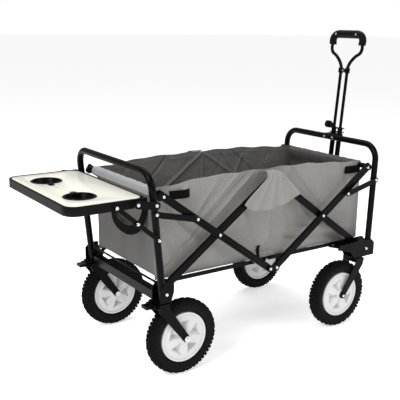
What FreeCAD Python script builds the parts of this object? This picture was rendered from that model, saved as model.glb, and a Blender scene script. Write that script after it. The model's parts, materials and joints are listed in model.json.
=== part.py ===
import FreeCAD, Part
import math
import os
import Sketcher

os.makedirs("parts", exist_ok=True)
doc = FreeCAD.newDocument("folding_wagon")
Vector = FreeCAD.Vector
Rotation = FreeCAD.Rotation
Placement = FreeCAD.Placement

# --------------------------------------------------------------------------
# Driving dimensions, in millimetres and degrees.
# +X points to the front (handle) end, +Z up, the wheels stand on Z = 0.
# --------------------------------------------------------------------------
SIZES = {
    "post_gap": 780.0,            # rear post line to front post line
    "half_width": 205.0,          # centre plane to post centre
    "frame_height": 572.0,        # ground to the top of the end frames
    "lean_level": 390.0,          # height at which the post lines are measured
    "rear_lean": 6.0,             # rear posts lean back
    "front_lean": 2.0,            # front posts lean forward
    "tube_radius": 9.5,
    "tube_wall": 1.5,
    "bend_radius": 46.0,
    "post_foot": 222.0,           # height of the posts' lower ends
    "bar_depth": 20.0,            # cross bars of the sides: height of section
    "bar_width": 10.0,
    "bar_wall": 1.2,
    "layer_gap": 2.0,             # air between bars that cross
    "pivot_low": 240.0,
    "pivot_high": 496.0,
    "pivot_inset": 22.0,          # post line to the first bar pivot
    "middle_half_gap": 11.7,      # centre of the side to a middle pivot
    "rear_overrun": 19.0,         # upper bar ends beyond their pivots
    "front_overrun": 11.0,
    "lower_overrun": 12.0,        # lower bar ends beyond their pivots
    "middle_overrun": 5.0,
    "rear_tube_offset": 12.0,     # upper cross tubes beyond the pivots
    "front_tube_offset": 4.0,
    "pin_radius": 3.0,
    "pin_clearance": 0.05,
    "plate": 3.0,                 # sheet metal of links, braces and brackets
    "plate_width": 16.0,
    "link_level": 457.0,          # height of the link's pivot on the post
    "link_share": 0.266,          # place of the link's pivot along the bar
    "cross_bar": 24.0,            # square section between the feet
    "cross_bar_level": 228.0,
    "bracket_floor": 216.0,       # underside of the corner brackets
    "bracket_top": 268.0,
    "floor_rod_radius": 3.0,
    "floor_rod_level": 264.0,
    "wheel_radius": 105.0,
    "tyre_width": 38.0,
    "hub_radius": 69.0,
    "hub_width": 32.0,
    "hub_web": 6.0,               # plastic left between the recesses of the two faces
    "hub_recess_half": 16.0,
    "axle_radius": 5.0,
    "track_inset": 10.0,          # post centre plane in to the middle of a wheel
    "rear_axle_ahead": 81.0,      # rear axle in front of the post line
    "caster_stem_back": 56.0,     # caster stem behind the front post line
    "caster_trail": 64.0,         # caster axle behind its stem
    "stem_radius": 8.5,
    "stem_clearance": 0.08,
    "fork_plate": 3.0,
    "fork_gap": 6.0,              # tyre to fork leg
    "crown_height": 14.0,
    "rear_crown_ahead": 14.0,     # rear fork's crown in front of the post line
    "pedal_back": 26.0,           # brake pedal's pin behind the crown
    "table_level": 502.0,         # top of the table
    "table_depth": 214.0,         # along the wagon
    "table_inset": 1.0,           # post centre plane in to its side
    "table_inner": 26.0,          # its inner edge behind the post line
    "table_corner": 34.0,
    "rim_height": 24.0,
    "rim_thick": 7.0,
    "board_thick": 9.0,
    "cup_radius": 43.0,
    "cup_offset": 104.0,
    "cup_back": 162.0,
    "cup_depth": 30.0,
    "cup_wall": 2.5,
    "cup_flange": 1.5,            # thickness of the flange and depth of its seat
    "cup_lip": 3.2,               # flange beyond the cup's wall
    "hinge_back": 62.0,           # table hinge behind the post line
    "brace_low": 389.0,
    "brace_back": 116.0,
    "brace_width": 12.0,
    "rail_height": 11.0,
    "rail_width": 4.0,
    "rail_level": 259.0,
    "rail_start": 30.0,           # rear rail pivot in front of the post line
    "rail_front_start": 130.0,    # front rail pivot behind the front post line
    "cloth": 3.0,
    "tub_top": 524.0,
    "tub_floor": 272.0,
    "hem_radius": 13.0,
    "cross_tube_radius": 8.0,
    "handle_pivot_ahead": 10.0,   # handle's pivot in front of the post line
    "handle_pivot_level": 252.0,
    "handle_lean": 5.0,
    "handle_tube_radius": 8.0,
    "handle_tube_wall": 1.5,
    "handle_spacing": 28.0,
    "handle_clamp_level": 572.0,
    "clamp_height": 50.0,
    "clamp_half_width": 29.0,
    "clamp_thick": 24.0,
    "rod_radius": 5.0,
    "collar_level": 778.0,
    "grip_level": 856.0,
    "grip_top": 905.0,
    "grip_half": 66.0,
    "grip_radius": 14.0,
    "loop_radius": 6.0,
}

sheet = doc.addObject("Spreadsheet::Sheet", "sizes")
for row, (alias, number) in enumerate(SIZES.items(), start=1):
    sheet.set("A%d" % row, alias)
    sheet.set("B%d" % row, "%g" % number)
    sheet.setAlias("B%d" % row, alias)
doc.recompute()


def size(alias):
    return float(sheet.get(alias))


def bind(piece, **cells):
    for quantity, formula in cells.items():
        piece.setExpression(quantity, formula)


# Values worked out from the driving dimensions.
GAP = size("post_gap")
HALF = size("half_width")
TRACK_HALF = HALF - size("track_inset")     # centre plane to the middle of a wheel
TABLE_HALF = HALF - size("table_inset")
TUBE = size("tube_radius")
PLATE = size("plate")
PIN_HOLE = "sizes.pin_radius + sizes.pin_clearance"
BAR_A_PLANE = HALF - TUBE + 2.5
BAR_B_PLANE = BAR_A_PLANE - size("bar_width") - size("layer_gap")
INNER_PLATE = BAR_B_PLANE - size("bar_width") / 2 - size("layer_gap") - PLATE / 2
RAIL_PLANE = INNER_PLATE - PLATE / 2 - 1.0 - size("rail_width") / 2
FRONT_RAIL_PLANE = RAIL_PLANE - size("rail_width") - 1.0
CLOTH_PLANE = FRONT_RAIL_PLANE - size("rail_width") / 2 - 3.0 - size("cloth") / 2
LINK_PLANE = HALF + TUBE + 1.0 + PLATE / 2
BRACKET_PLANE = LINK_PLANE + PLATE + 1.0
REAR_FIRST = size("pivot_inset")
MIDDLE = GAP / 2
REAR_MIDDLE = MIDDLE - size("middle_half_gap")
RUN = REAR_MIDDLE - REAR_FIRST
RISE = size("pivot_high") - size("pivot_low")
BAR_LENGTH = math.hypot(RUN, RISE)
BAR_ANGLE = math.degrees(math.atan2(RISE, RUN))
CROSS_LEVEL = (size("pivot_high") + size("pivot_low")) / 2
REAR_CROSS = (REAR_FIRST + REAR_MIDDLE) / 2


def rear_post_x(level):
    return -(level - size("lean_level")) * math.tan(math.radians(size("rear_lean")))


def front_post_x(level):
    return GAP + (level - size("lean_level")) * math.tan(math.radians(size("front_lean")))


def mirrored_x(x):
    return GAP - x


# --------------------------------------------------------------------------
# Small building steps shared by the sub-parts.
# --------------------------------------------------------------------------
def add(kind, name):
    return doc.addObject(kind, name)


def cylinder(name, radius, start, end):
    """A round solid between two points; radius is a sheet formula."""
    start, end = Vector(*start), Vector(*end)
    piece = add("Part::Cylinder", name)
    bind(piece, Radius=radius)
    piece.Height = (end - start).Length
    piece.Placement = Placement(start, Rotation(Vector(0, 0, 1), end - start))
    return piece


def block(name, low, high):
    """A box between two corners."""
    piece = add("Part::Box", name)
    piece.Length = high[0] - low[0]
    piece.Width = high[1] - low[1]
    piece.Height = high[2] - low[2]
    piece.Placement.Base = Vector(*low)
    return piece


def cut(name, base, tools):
    """Base less one or more tools."""
    tool = tools[0]
    if len(tools) > 1:
        tool = add("Part::MultiFuse", name + "_tools")
        tool.Shapes = tools
    piece = add("Part::Cut", name)
    piece.Base = base
    piece.Tool = tool
    return piece


def join(name, pieces):
    piece = add("Part::MultiFuse", name)
    piece.Shapes = pieces
    piece.Refine = True
    return piece


def group(name, pieces):
    """Separate solids that share one node."""
    piece = add("Part::Compound", name)
    piece.Links = pieces
    return piece


def mirror(name, source):
    """The same piece on the far side of the centre plane."""
    piece = add("Part::Mirroring", name)
    piece.Source = source
    piece.Normal = Vector(0, 1, 0)
    return piece


def both_sides(name, pieces):
    """A group with every piece on both sides."""
    far = [mirror("%s_far_%d" % (name, i), p) for i, p in enumerate(pieces)]
    return group(name, list(pieces) + far)


def pin_y(name, x, z, inner, outer, radius="sizes.pin_radius"):
    """A pin across the near side, from one |Y| to another."""
    return cylinder(name, radius, (x, -inner, z), (x, -outer, z))


def strip(name, start, end, plane, width, thick, holes, ends=None):
    """A flat strip with round ends in a plane |Y|, between two (x, z) points."""
    reach = width / 2 if ends is None else ends
    dx, dz = end[0] - start[0], end[1] - start[1]
    length = math.hypot(dx, dz)
    body = add("Part::Box", name + "_flat")
    body.Length = length + 2 * (reach - width / 2)
    body.Width = thick
    body.Height = width
    body.Placement.Base = Vector(-(reach - width / 2), -thick / 2, -width / 2)
    caps = []
    for i, x in enumerate((-(reach - width / 2), length + reach - width / 2)):
        cap = add("Part::Cylinder", "%s_end_%d" % (name, i))
        cap.Radius = width / 2
        cap.Height = thick
        cap.Placement = Placement(Vector(x, thick / 2, 0), Rotation(Vector(1, 0, 0), 90))
        caps.append(cap)
    solid = join(name + "_solid", [body] + caps)
    drills = []
    for i, x in enumerate(holes):
        drill = add("Part::Cylinder", "%s_hole_%d" % (name, i))
        bind(drill, Radius=PIN_HOLE)
        drill.Height = thick + 4
        drill.Placement = Placement(Vector(x * length, thick / 2 + 2, 0), Rotation(Vector(1, 0, 0), 90))
        drills.append(drill)
    piece = cut(name, solid, drills) if drills else solid
    piece.Placement = Placement(Vector(start[0], -plane, start[1]),
                                Rotation(Vector(0, 1, 0), -math.degrees(math.atan2(dz, dx))))
    return piece


def side_bar(name, start, end, plane, overruns, holes):
    """A rectangular tube between two pivots, drilled for its pins."""
    dx, dz = end[0] - start[0], end[1] - start[1]
    length = math.hypot(dx, dz)
    outer = add("Part::Box", name + "_outer")
    outer.Length = length + overruns[0] + overruns[1]
    bind(outer, Width="sizes.bar_width", Height="sizes.bar_depth")
    outer.Placement.Base = Vector(-overruns[0], -size("bar_width") / 2, -size("bar_depth") / 2)
    inner = add("Part::Box", name + "_inner")
    inner.Length = length + overruns[0] + overruns[1] + 2
    bind(inner, Width="sizes.bar_width - 2 * sizes.bar_wall", Height="sizes.bar_depth - 2 * sizes.bar_wall")
    inner.Placement.Base = Vector(-overruns[0] - 1, -size("bar_width") / 2 + size("bar_wall"),
                                  -size("bar_depth") / 2 + size("bar_wall"))
    drills = [inner]
    for i, share in enumerate(holes):
        drill = add("Part::Cylinder", "%s_hole_%d" % (name, i))
        bind(drill, Radius=PIN_HOLE)
        drill.Height = size("bar_width") + 4
        drill.Placement = Placement(Vector(share * length, size("bar_width") / 2 + 2, 0),
                                    Rotation(Vector(1, 0, 0), 90))
        drills.append(drill)
    piece = cut(name, outer, drills)
    piece.Placement = Placement(Vector(start[0], -plane, start[1]),
                                Rotation(Vector(0, 1, 0), -math.degrees(math.atan2(dz, dx))))
    return piece


def sketch_on(body, name, role):
    """A sketch on one of the body's own origin planes."""
    plane = [f for f in body.Origin.OriginFeatures if f.Role == role][0]
    drawing = body.newObject("Sketcher::SketchObject", name)
    drawing.AttachmentSupport = [(plane, "")]
    drawing.MapMode = "FlatFace"
    return drawing


def ring_sketch(drawing, centre, outer, inner):
    """Two bound circles about one centre."""
    for radius in (outer, inner):
        index = drawing.addGeometry(Part.Circle(Vector(centre[0], centre[1], 0), Vector(0, 0, 1), 5), False)
        for kind, where in (("DistanceX", centre[0]), ("DistanceY", centre[1])):
            drawing.addConstraint(Sketcher.Constraint(kind, -1, 1, index, 3, where))
        drawing.addConstraint(Sketcher.Constraint("Radius", index, 5))
        drawing.setExpression("Constraints[%d]" % (drawing.ConstraintCount - 1), radius)


def arch_sketch(drawing, half, low, high, bend):
    """Two uprights and a top bar with round corners, the ends at the bottom."""
    arch = [
        Part.LineSegment(Vector(-half, low, 0), Vector(-half, high - bend, 0)),
        Part.ArcOfCircle(Part.Circle(Vector(-half + bend, high - bend, 0), Vector(0, 0, 1), bend),
                         math.pi / 2, math.pi),
        Part.LineSegment(Vector(-half + bend, high, 0), Vector(half - bend, high, 0)),
        Part.ArcOfCircle(Part.Circle(Vector(half - bend, high - bend, 0), Vector(0, 0, 1), bend),
                         0, math.pi / 2),
        Part.LineSegment(Vector(half, high - bend, 0), Vector(half, low, 0)),
    ]
    drawing.addGeometry(arch, False)
    for a, a_end, b, b_end in ((0, 2, 1, 2), (1, 1, 2, 1), (2, 2, 3, 2), (3, 1, 4, 1)):
        drawing.addConstraint(Sketcher.Constraint("Coincident", a, a_end, b, b_end))


def end_frame(name, foot, lean, x):
    """Two posts and a top bar bent from one round tube."""
    level = size("lean_level")
    body = add("PartDesign::Body", name)
    path = sketch_on(body, name + "_path", "YZ_Plane")
    arch_sketch(path, HALF, foot - level, size("frame_height") - TUBE - level, size("bend_radius"))
    section = sketch_on(body, name + "_section", "XY_Plane")
    section.AttachmentOffset = Placement(Vector(0, 0, foot - level), Rotation())
    ring_sketch(section, (0, -HALF), "sizes.tube_radius", "sizes.tube_radius - sizes.tube_wall")
    pipe = body.newObject("PartDesign::AdditivePipe", name + "_pipe")
    pipe.Profile = section
    pipe.Spine = (path, [])
    body.Placement = Placement(Vector(x, 0, level), Rotation(Vector(0, 1, 0), lean))
    return body


def drilled_frame(label, frame, spots):
    """The end frame with a hole through a post at each (x, z) spot, on both sides."""
    drills = []
    for i, (x, z) in enumerate(spots):
        drill = cylinder("%s_drill_%d" % (label, i), PIN_HOLE,
                         (x, -HALF - 20, z), (x, HALF + 20, z))
        drills.append(drill)
    return cut(label, frame, drills)


PARTS = []


def keep(piece, label):
    """Names a finished sub-part; the label is its file's name."""
    piece.Label = label
    PARTS.append(piece)
    return piece


# --------------------------------------------------------------------------
# End frames and what is fixed to them.
# --------------------------------------------------------------------------
LINK_PIVOT = (rear_post_x(size("link_level")), size("link_level"))
BRACE_PIVOT = (rear_post_x(size("brace_low")), size("brace_low"))
BRACKET_LEVEL = size("table_level") - size("rim_height") / 2 - 8.0
BRACKET_PIVOT = (rear_post_x(BRACKET_LEVEL), BRACKET_LEVEL)
TABLE_HINGE = (-size("hinge_back"), size("table_level") - size("rim_height") / 2)
FRONT_LINK_PIVOT = (front_post_x(size("link_level")), size("link_level"))


def rear_frame():
    bare = end_frame("rear_tube", size("post_foot"), -size("rear_lean"), 0)
    spots = [LINK_PIVOT, BRACE_PIVOT, BRACKET_PIVOT, (REAR_FIRST, size("pivot_low"))]
    keep(drilled_frame("rear_end_frame_solid", bare, spots), "rear_end_frame")


def front_frame():
    bare = end_frame("front_tube", size("post_foot"), size("front_lean"), GAP)
    keep(drilled_frame("front_end_frame_solid", bare, [FRONT_LINK_PIVOT]), "front_end_frame")


def outline_plate(name, points, inner, outer):
    """A plate whose outline is given as (x, z) points, between two |Y| on the near side."""
    outline = add("Part::Polygon", name + "_outline")
    outline.Nodes = [Vector(x, -inner, z) for x, z in points]
    outline.Close = True
    plate = add("Part::Extrusion", name)
    plate.Base = outline
    plate.DirMode = "Custom"
    plate.Dir = Vector(0, -1, 0)
    plate.LengthFwd = outer - inner
    plate.Solid = True
    return plate


REAR_PIVOT = (REAR_FIRST, size("pivot_low"))
RAIL_PIVOT = (size("rail_start"), size("rail_level"))
FRONT_RAIL_PIVOT = (GAP - size("rail_front_start"), size("rail_level"))
STEM_X = GAP - size("caster_stem_back")
FLOOR = size("bracket_floor")
PIVOT_ROD = (GAP + size("handle_pivot_ahead"), size("handle_pivot_level"))


def corner_bracket(name, outline, floor_reach):
    """Two side plates and a floor plate, folded from one sheet, around a post's foot."""
    inner = outline_plate(name + "_inner", outline, INNER_PLATE - PLATE / 2, INNER_PLATE + PLATE / 2)
    outer = outline_plate(name + "_outer", outline, LINK_PLANE - PLATE / 2, LINK_PLANE + PLATE / 2)
    floor = block(name + "_floor", (floor_reach[0], -LINK_PLANE, FLOOR),
                  (floor_reach[1], -INNER_PLATE, FLOOR + PLATE))
    solid = join(name + "_solid", [inner, outer, floor])
    return solid


def rear_brackets():
    foot = rear_post_x(size("post_foot"))
    top = size("bracket_top")
    outline = [(foot - 17, FLOOR), (foot + 17, FLOOR), (foot + 26, top - 22), (foot + 26, top),
               (foot - 4, top), (foot - 17, top - 14)]
    solid = corner_bracket("rear_bracket", outline, (foot - 17, foot + 17))
    drills = [pin_y("rear_bracket_hole", *REAR_PIVOT, INNER_PLATE - 5, LINK_PLANE + 5, PIN_HOLE),
              pin_y("rear_rail_hole", *RAIL_PIVOT, INNER_PLATE - 5, INNER_PLATE + 5, PIN_HOLE)]
    bracket = cut("rear_bracket_cut", solid, drills)
    keep(both_sides("rear_brackets_pair", [bracket]), "rear_corner_brackets")


def front_brackets():
    foot = front_post_x(size("post_foot"))
    top = size("bracket_top")
    back = FRONT_RAIL_PIVOT[0] - 16.0
    outline = [(back, top - 14), (STEM_X - 34, FLOOR + 22), (STEM_X - 20, FLOOR), (foot + 17, FLOOR),
               (foot + 17, top - 12), (foot + 4, top), (back + 6, top)]
    solid = corner_bracket("front_bracket", outline, (STEM_X - 20, foot + 17))
    window = block("front_bracket_window", (foot - 30, -LINK_PLANE - 5, FLOOR + 24),
                   (foot - 12, -LINK_PLANE + 5, FLOOR + 30))
    stem = cylinder("front_stem_hole", "sizes.stem_radius + sizes.stem_clearance",
                    (STEM_X, -TRACK_HALF, FLOOR - 5), (STEM_X, -TRACK_HALF, FLOOR + 10))
    pivot = (mirrored_x(REAR_PIVOT[0]), REAR_PIVOT[1])
    drills = [window, stem,
              pin_y("front_bracket_hole", *pivot, INNER_PLATE - 5, LINK_PLANE + 5, PIN_HOLE),
              pin_y("front_rail_hole", *FRONT_RAIL_PIVOT, INNER_PLATE - 5, INNER_PLATE + 5, PIN_HOLE)]
    bracket = cut("front_bracket_cut", solid, drills)
    keep(both_sides("front_brackets_pair", [bracket]), "front_corner_brackets")


def square_tube(name, x, level):
    """A square tube across the wagon between the inner bracket plates."""
    side = size("cross_bar")
    wall = size("tube_wall")
    reach = INNER_PLATE - PLATE / 2
    outer = block(name + "_out", (x - side / 2, -reach, level - side / 2),
                  (x + side / 2, reach, level + side / 2))
    inner = block(name + "_in", (x - side / 2 + wall, -reach - 1, level - side / 2 + wall),
                  (x + side / 2 - wall, reach + 1, level + side / 2 - wall))
    return cut(name, outer, [inner])


def rear_cross_bar():
    x = rear_post_x(size("cross_bar_level"))
    reach = INNER_PLATE - PLATE / 2
    level = size("floor_rod_level")
    rod = cylinder("rear_floor_rod", "sizes.floor_rod_radius", (x - 4, -reach, level), (x - 4, reach, level))
    square = square_tube("rear_square", x, size("cross_bar_level"))
    keep(group("rear_cross_group", [square, rod]), "rear_cross_bar")


def front_cross_bar():
    """The square bar between the front feet and the lugs of the handle's pivot rod."""
    x = front_post_x(size("cross_bar_level"))
    top = size("cross_bar_level") + size("cross_bar") / 2
    tube = square_tube("front_square", x, size("cross_bar_level"))
    pivot_x, pivot_z = PIVOT_ROD
    lugs = []
    for i, y in enumerate((-48.0, 42.0)):
        lug = block("handle_lug_%d" % i, (pivot_x - 24, y, top), (pivot_x + 8, y + 6, pivot_z + 8))
        lugs.append(lug)
    rod_hole = cylinder("lug_hole", PIN_HOLE, (pivot_x, -60, pivot_z), (pivot_x, 60, pivot_z))
    lug_pair = cut("handle_lugs", group("lug_group", lugs), [rod_hole])
    rod = cylinder("handle_pivot_rod", "sizes.pin_radius", (pivot_x, -52, pivot_z), (pivot_x, 52, pivot_z))
    keep(group("front_cross_group", [tube, lug_pair]), "front_cross_bar")
    keep(rod, "handle_pivot_rod")


def tapered_leg(name, top, top_r, low, low_r, inner, outer, hole):
    """A fork leg: a tapered flat with round ends, drilled for the axle."""
    dx, dz = low[0] - top[0], low[1] - top[1]
    length = math.hypot(dx, dz)
    along = math.atan2(dz, dx)
    lean = math.acos((top_r - low_r) / length)
    points = []
    for centre, radius, turn in ((top, top_r, lean), (low, low_r, lean),
                                 (low, low_r, -lean), (top, top_r, -lean)):
        angle = along + turn
        points.append((centre[0] + radius * math.cos(angle), centre[1] + radius * math.sin(angle)))
    flat = outline_plate(name + "_flat", points, inner, outer)
    ends = []
    for i, (centre, radius) in enumerate(((top, top_r), (low, low_r))):
        end = add("Part::Cylinder", "%s_end_%d" % (name, i))
        end.Radius = radius
        end.Height = outer - inner
        end.Placement = Placement(Vector(centre[0], -inner, centre[1]), Rotation(Vector(1, 0, 0), 90))
        ends.append(end)
    solid = join(name + "_solid", [flat] + ends)
    drill = pin_y(name + "_hole", low[0], low[1], inner - 2, outer + 2, hole)
    return cut(name, solid, [drill])


def fork(name, crown_x, crown_low, crown_high, axle_x):
    """A crown across the wheel with a tapered leg down each side of it."""
    middle = TRACK_HALF
    gap = size("tyre_width") / 2 + size("fork_gap")
    thick = size("fork_plate")
    crown = block(name + "_crown", (crown_x - 18, -middle - gap - thick, crown_low),
                  (crown_x + 16, -middle + gap + thick, crown_high))
    legs = []
    for i, inner in enumerate((middle - gap - thick, middle + gap)):
        legs.append(tapered_leg("%s_leg_%d" % (name, i), (crown_x - 1, crown_low - 3), 15.0,
                                (axle_x, size("wheel_radius")), 10.0, inner, inner + thick,
                                "sizes.axle_radius + sizes.pin_clearance"))
    return join(name, [crown] + legs)


def axle(name, x):
    """The axle bolt with its head and nut outside the fork legs."""
    middle = TRACK_HALF
    reach = size("tyre_width") / 2 + size("fork_gap") + size("fork_plate")
    z = size("wheel_radius")
    shank = pin_y(name + "_shank", x, z, middle - reach, middle + reach, "sizes.axle_radius")
    head = pin_y(name + "_head", x, z, middle + reach, middle + reach + 4, "sizes.axle_radius + 3")
    nut = pin_y(name + "_nut", x, z, middle - reach - 5, middle - reach, "sizes.axle_radius + 3")
    return join(name, [shank, head, nut])


REAR_AXLE_X = size("rear_axle_ahead")
FRONT_AXLE_X = STEM_X - size("caster_trail")
CROWN_LOW = size("wheel_radius") * 2 - 8.0    # the crown passes over the tyre's edge
REAR_CROWN_X = size("rear_crown_ahead")
PEDAL_PIVOT = (REAR_CROWN_X - size("pedal_back"), CROWN_LOW + size("crown_height") / 2)


def rear_forks():
    solid = fork("rear_fork", REAR_CROWN_X, CROWN_LOW, FLOOR, REAR_AXLE_X)
    ears = []
    for i, y in enumerate((-TRACK_HALF - 19, -TRACK_HALF + 15)):
        ears.append(block("pedal_ear_%d" % i, (PEDAL_PIVOT[0] - 5, y, PEDAL_PIVOT[1] - 6),
                          (REAR_CROWN_X - 18, y + 4, PEDAL_PIVOT[1] + 6)))
    whole = join("rear_fork_with_ears", [solid] + ears)
    drill = pin_y("pedal_hole", *PEDAL_PIVOT, TRACK_HALF - 25, TRACK_HALF + 25,
                  PIN_HOLE)
    drilled = cut("rear_fork_drilled", whole, [drill])
    keep(both_sides("rear_forks_pair", [drilled]), "rear_forks")
    keep(both_sides("rear_axles_pair", [axle("rear_axle", REAR_AXLE_X)]), "rear_axles")


def pedals():
    """A brake lever on a pin behind each rear wheel."""
    x, z = PEDAL_PIVOT
    middle = TRACK_HALF
    tread = block("pedal_tread", (x - 22, -middle - 13, z - 3), (x - 4, -middle + 13, z + 5))
    boss = pin_y("pedal_boss", x, z, middle - 14, middle + 14, "sizes.pin_radius + 3")
    pin = pin_y("pedal_pin", x, z, middle - 21, middle + 21)
    pedal = join("pedal_solid", [tread, boss, pin])
    keep(group("pedal_near", [pedal]), "brake_pedal_right")
    keep(group("pedal_far", [mirror("pedal_mirrored", pedal)]), "brake_pedal_left")


def casters():
    """A swivelling fork with its stem, held in the front bracket."""
    middle = TRACK_HALF
    forks = fork("caster_fork", STEM_X + 4, CROWN_LOW, CROWN_LOW + size("crown_height") - 2, FRONT_AXLE_X)
    top = FLOOR + 24
    stem = cylinder("caster_stem", "sizes.stem_radius", (STEM_X, -middle, CROWN_LOW + 2),
                    (STEM_X, -middle, top))
    whole = join("caster_whole", [forks, stem])
    bolt = axle("caster_axle", FRONT_AXLE_X)
    keep(group("caster_near", [whole, bolt]), "caster_fork_right")
    far = [mirror("caster_far_fork", whole), mirror("caster_far_bolt", bolt)]
    keep(group("caster_far", far), "caster_fork_left")


def outline_sketch(drawing, points):
    """A closed outline; every corner is (alias, offset) along each axis and bound to the sheet."""
    count = len(points)
    spots = [Vector(size(px) * sx + ox, size(pz) * sz + oz, 0) for (px, sx, ox), (pz, sz, oz) in points]
    lines = [Part.LineSegment(spots[i], spots[(i + 1) % count]) for i in range(count)]
    drawing.addGeometry(lines, False)
    for i in range(count):
        drawing.addConstraint(Sketcher.Constraint("Coincident", i, 2, (i + 1) % count, 1))
    for i, corner in enumerate(points):
        for kind, (alias, scale, offset), value in zip(("DistanceX", "DistanceY"), corner, spots[i]):
            drawing.addConstraint(Sketcher.Constraint(kind, -1, 1, i, 1, value))
            formula = "sizes.%s * %g + %g" % (alias, scale, offset)
            drawing.setExpression("Constraints[%d]" % (drawing.ConstraintCount - 1), formula)


def turned(body, name, points):
    """A solid of revolution about the body's Z axis."""
    drawing = sketch_on(body, name + "_outline", "XZ_Plane")
    outline_sketch(drawing, points)
    ring = body.newObject("PartDesign::Revolution", name)
    ring.Profile = drawing
    ring.ReferenceAxis = (drawing, ["V_Axis"])
    ring.Angle = 360
    return ring


def tyre(label, place):
    body = add("PartDesign::Body", label + "_body")
    wide = "tyre_width"
    outer = "wheel_radius"
    points = [
        (("hub_radius", 1, 0.1), (wide, -0.5, 2)), (("hub_radius", 1, 18), (wide, -0.5, 0)),
        ((outer, 1, -6), (wide, -0.5, 2)), ((outer, 1, 0), (wide, -0.5, 9)),
        ((outer, 1, 0), (wide, 0.5, -9)), ((outer, 1, -6), (wide, 0.5, -2)),
        (("hub_radius", 1, 18), (wide, 0.5, 0)), (("hub_radius", 1, 0.1), (wide, 0.5, -2)),
    ]
    turned(body, label + "_ring", points)
    body.Placement = place
    keep(body, label)


def hub(label, place):
    """A plastic wheel centre with five petals: turned, then five blind recesses from each face."""
    body = add("PartDesign::Body", label + "_body")
    wide = "hub_width"
    points = [
        (("axle_radius", 1, 0.05), (wide, -0.5, -2)), (("axle_radius", 1, 10), (wide, -0.5, -2)),
        (("axle_radius", 1, 12), (wide, -0.5, 0)), (("hub_radius", 1, -9), (wide, -0.5, 5)),
        (("hub_radius", 1, -7), (wide, -0.5, 0)), (("hub_radius", 1, 0), (wide, -0.5, 0)),
        (("hub_radius", 1, 0), (wide, 0.5, 0)), (("hub_radius", 1, -7), (wide, 0.5, 0)),
        (("hub_radius", 1, -9), (wide, 0.5, -5)), (("axle_radius", 1, 12), (wide, 0.5, 0)),
        (("axle_radius", 1, 10), (wide, 0.5, 2)), (("axle_radius", 1, 0.05), (wide, 0.5, 2)),
    ]
    turned(body, label + "_turned", points)
    doc.recompute()
    before = body.Shape.Volume
    pockets = []
    for face in (-1, 1):
        recess = sketch_on(body, "%s_recess_%d" % (label, face), "XY_Plane")
        recess.AttachmentOffset = Placement(Vector(0, 0, face * size("hub_web") / 2), Rotation())
        far, near, half = "hub_radius", "axle_radius", size("hub_recess_half")
        outline_sketch(recess, [((far, 1, -12), (near, 0, -half)), ((far, 1, -12), (near, 0, half)),
                                ((near, 1, 17), (near, 0, 2.5)), ((near, 1, 17), (near, 0, -2.5))])
        pocket = body.newObject("PartDesign::Pocket", "%s_pocket_%d" % (label, face))
        pocket.Profile = recess
        pocket.Type = "ThroughAll"
        pocket.Reversed = face > 0
        pockets.append(pocket)
    pattern = body.newObject("PartDesign::PolarPattern", label + "_pattern")
    pattern.Originals = pockets
    pattern.Axis = (recess, ["N_Axis"])
    pattern.Angle = 360
    pattern.Occurrences = 5
    body.Tip = pattern
    doc.recompute()
    if body.Shape.Volume > before - 1000:
        raise RuntimeError(label + ": the recesses cut nothing")
    body.Placement = place
    keep(body, label)


WHEELS = {
    "rear_right": (REAR_AXLE_X, -1),
    "rear_left": (REAR_AXLE_X, 1),
    "front_right": (FRONT_AXLE_X, -1),
    "front_left": (FRONT_AXLE_X, 1),
}


def wheels():
    for place, (x, side) in WHEELS.items():
        centre = Vector(x, side * TRACK_HALF, size("wheel_radius"))
        stand = Placement(centre, Rotation(Vector(1, 0, 0), 90))
        tyre("tyre_" + place, stand)
        hub("hub_" + place, stand)


# --------------------------------------------------------------------------
# The crossed bars of the sides.
# --------------------------------------------------------------------------
HIGH, LOW = size("pivot_high"), size("pivot_low")
FRONT_FIRST, FRONT_MIDDLE = mirrored_x(REAR_FIRST), mirrored_x(REAR_MIDDLE)
SHARE = size("link_share")


def crossed_bars():
    middle, lower = size("middle_overrun"), size("lower_overrun")
    bar_a = side_bar("bar_a", (REAR_FIRST, HIGH), (REAR_MIDDLE, LOW), BAR_A_PLANE,
                     (size("rear_overrun"), middle), (SHARE, 0.5, 1))
    bar_b = side_bar("bar_b", (REAR_FIRST, LOW), (REAR_MIDDLE, HIGH), BAR_B_PLANE,
                     (lower, middle), (0, 0.5, 1))
    bar_d = side_bar("bar_d", (FRONT_FIRST, LOW), (FRONT_MIDDLE, HIGH), BAR_B_PLANE,
                     (lower, middle), (0, 0.5, 1))
    bar_e = side_bar("bar_e", (FRONT_FIRST, HIGH), (FRONT_MIDDLE, LOW), BAR_A_PLANE,
                     (size("front_overrun"), middle), (SHARE, 0.5, 1))
    keep(both_sides("bars_a_pair", [bar_a]), "bars_a")
    keep(both_sides("bars_b_pair", [bar_b]), "bars_b")
    keep(both_sides("bars_d_pair", [bar_d]), "bars_d")
    keep(both_sides("bars_e_pair", [bar_e]), "bars_e")
    for end, x in (("rear", REAR_CROSS), ("front", mirrored_x(REAR_CROSS))):
        pin = pin_y("crossing_pin_" + end, x, CROSS_LEVEL, BAR_B_PLANE - 7, BAR_A_PLANE + 7)
        keep(both_sides(end + "_crossing_pair", [pin]), "crossing_pins_" + end)


def beyond_pivot(distance):
    """How far a point past an upper pivot, along its bar, lies outward and upward."""
    angle = math.radians(BAR_ANGLE)
    return distance * math.cos(angle), distance * math.sin(angle)


def upper_tube_axis(end):
    out, up = beyond_pivot(size(end + "_tube_offset"))
    x = REAR_FIRST - out if end == "rear" else FRONT_FIRST + out
    return x, HIGH + up


def upper_tubes():
    """The tubes across the wagon that join the top ends of the outer bars."""
    reach = BAR_A_PLANE - size("bar_width") / 2
    for end in ("rear", "front"):
        x, z = upper_tube_axis(end)
        keep(cylinder(end + "_upper", "sizes.cross_tube_radius", (x, -reach, z), (x, reach, z)),
             end + "_upper_tube")


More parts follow.
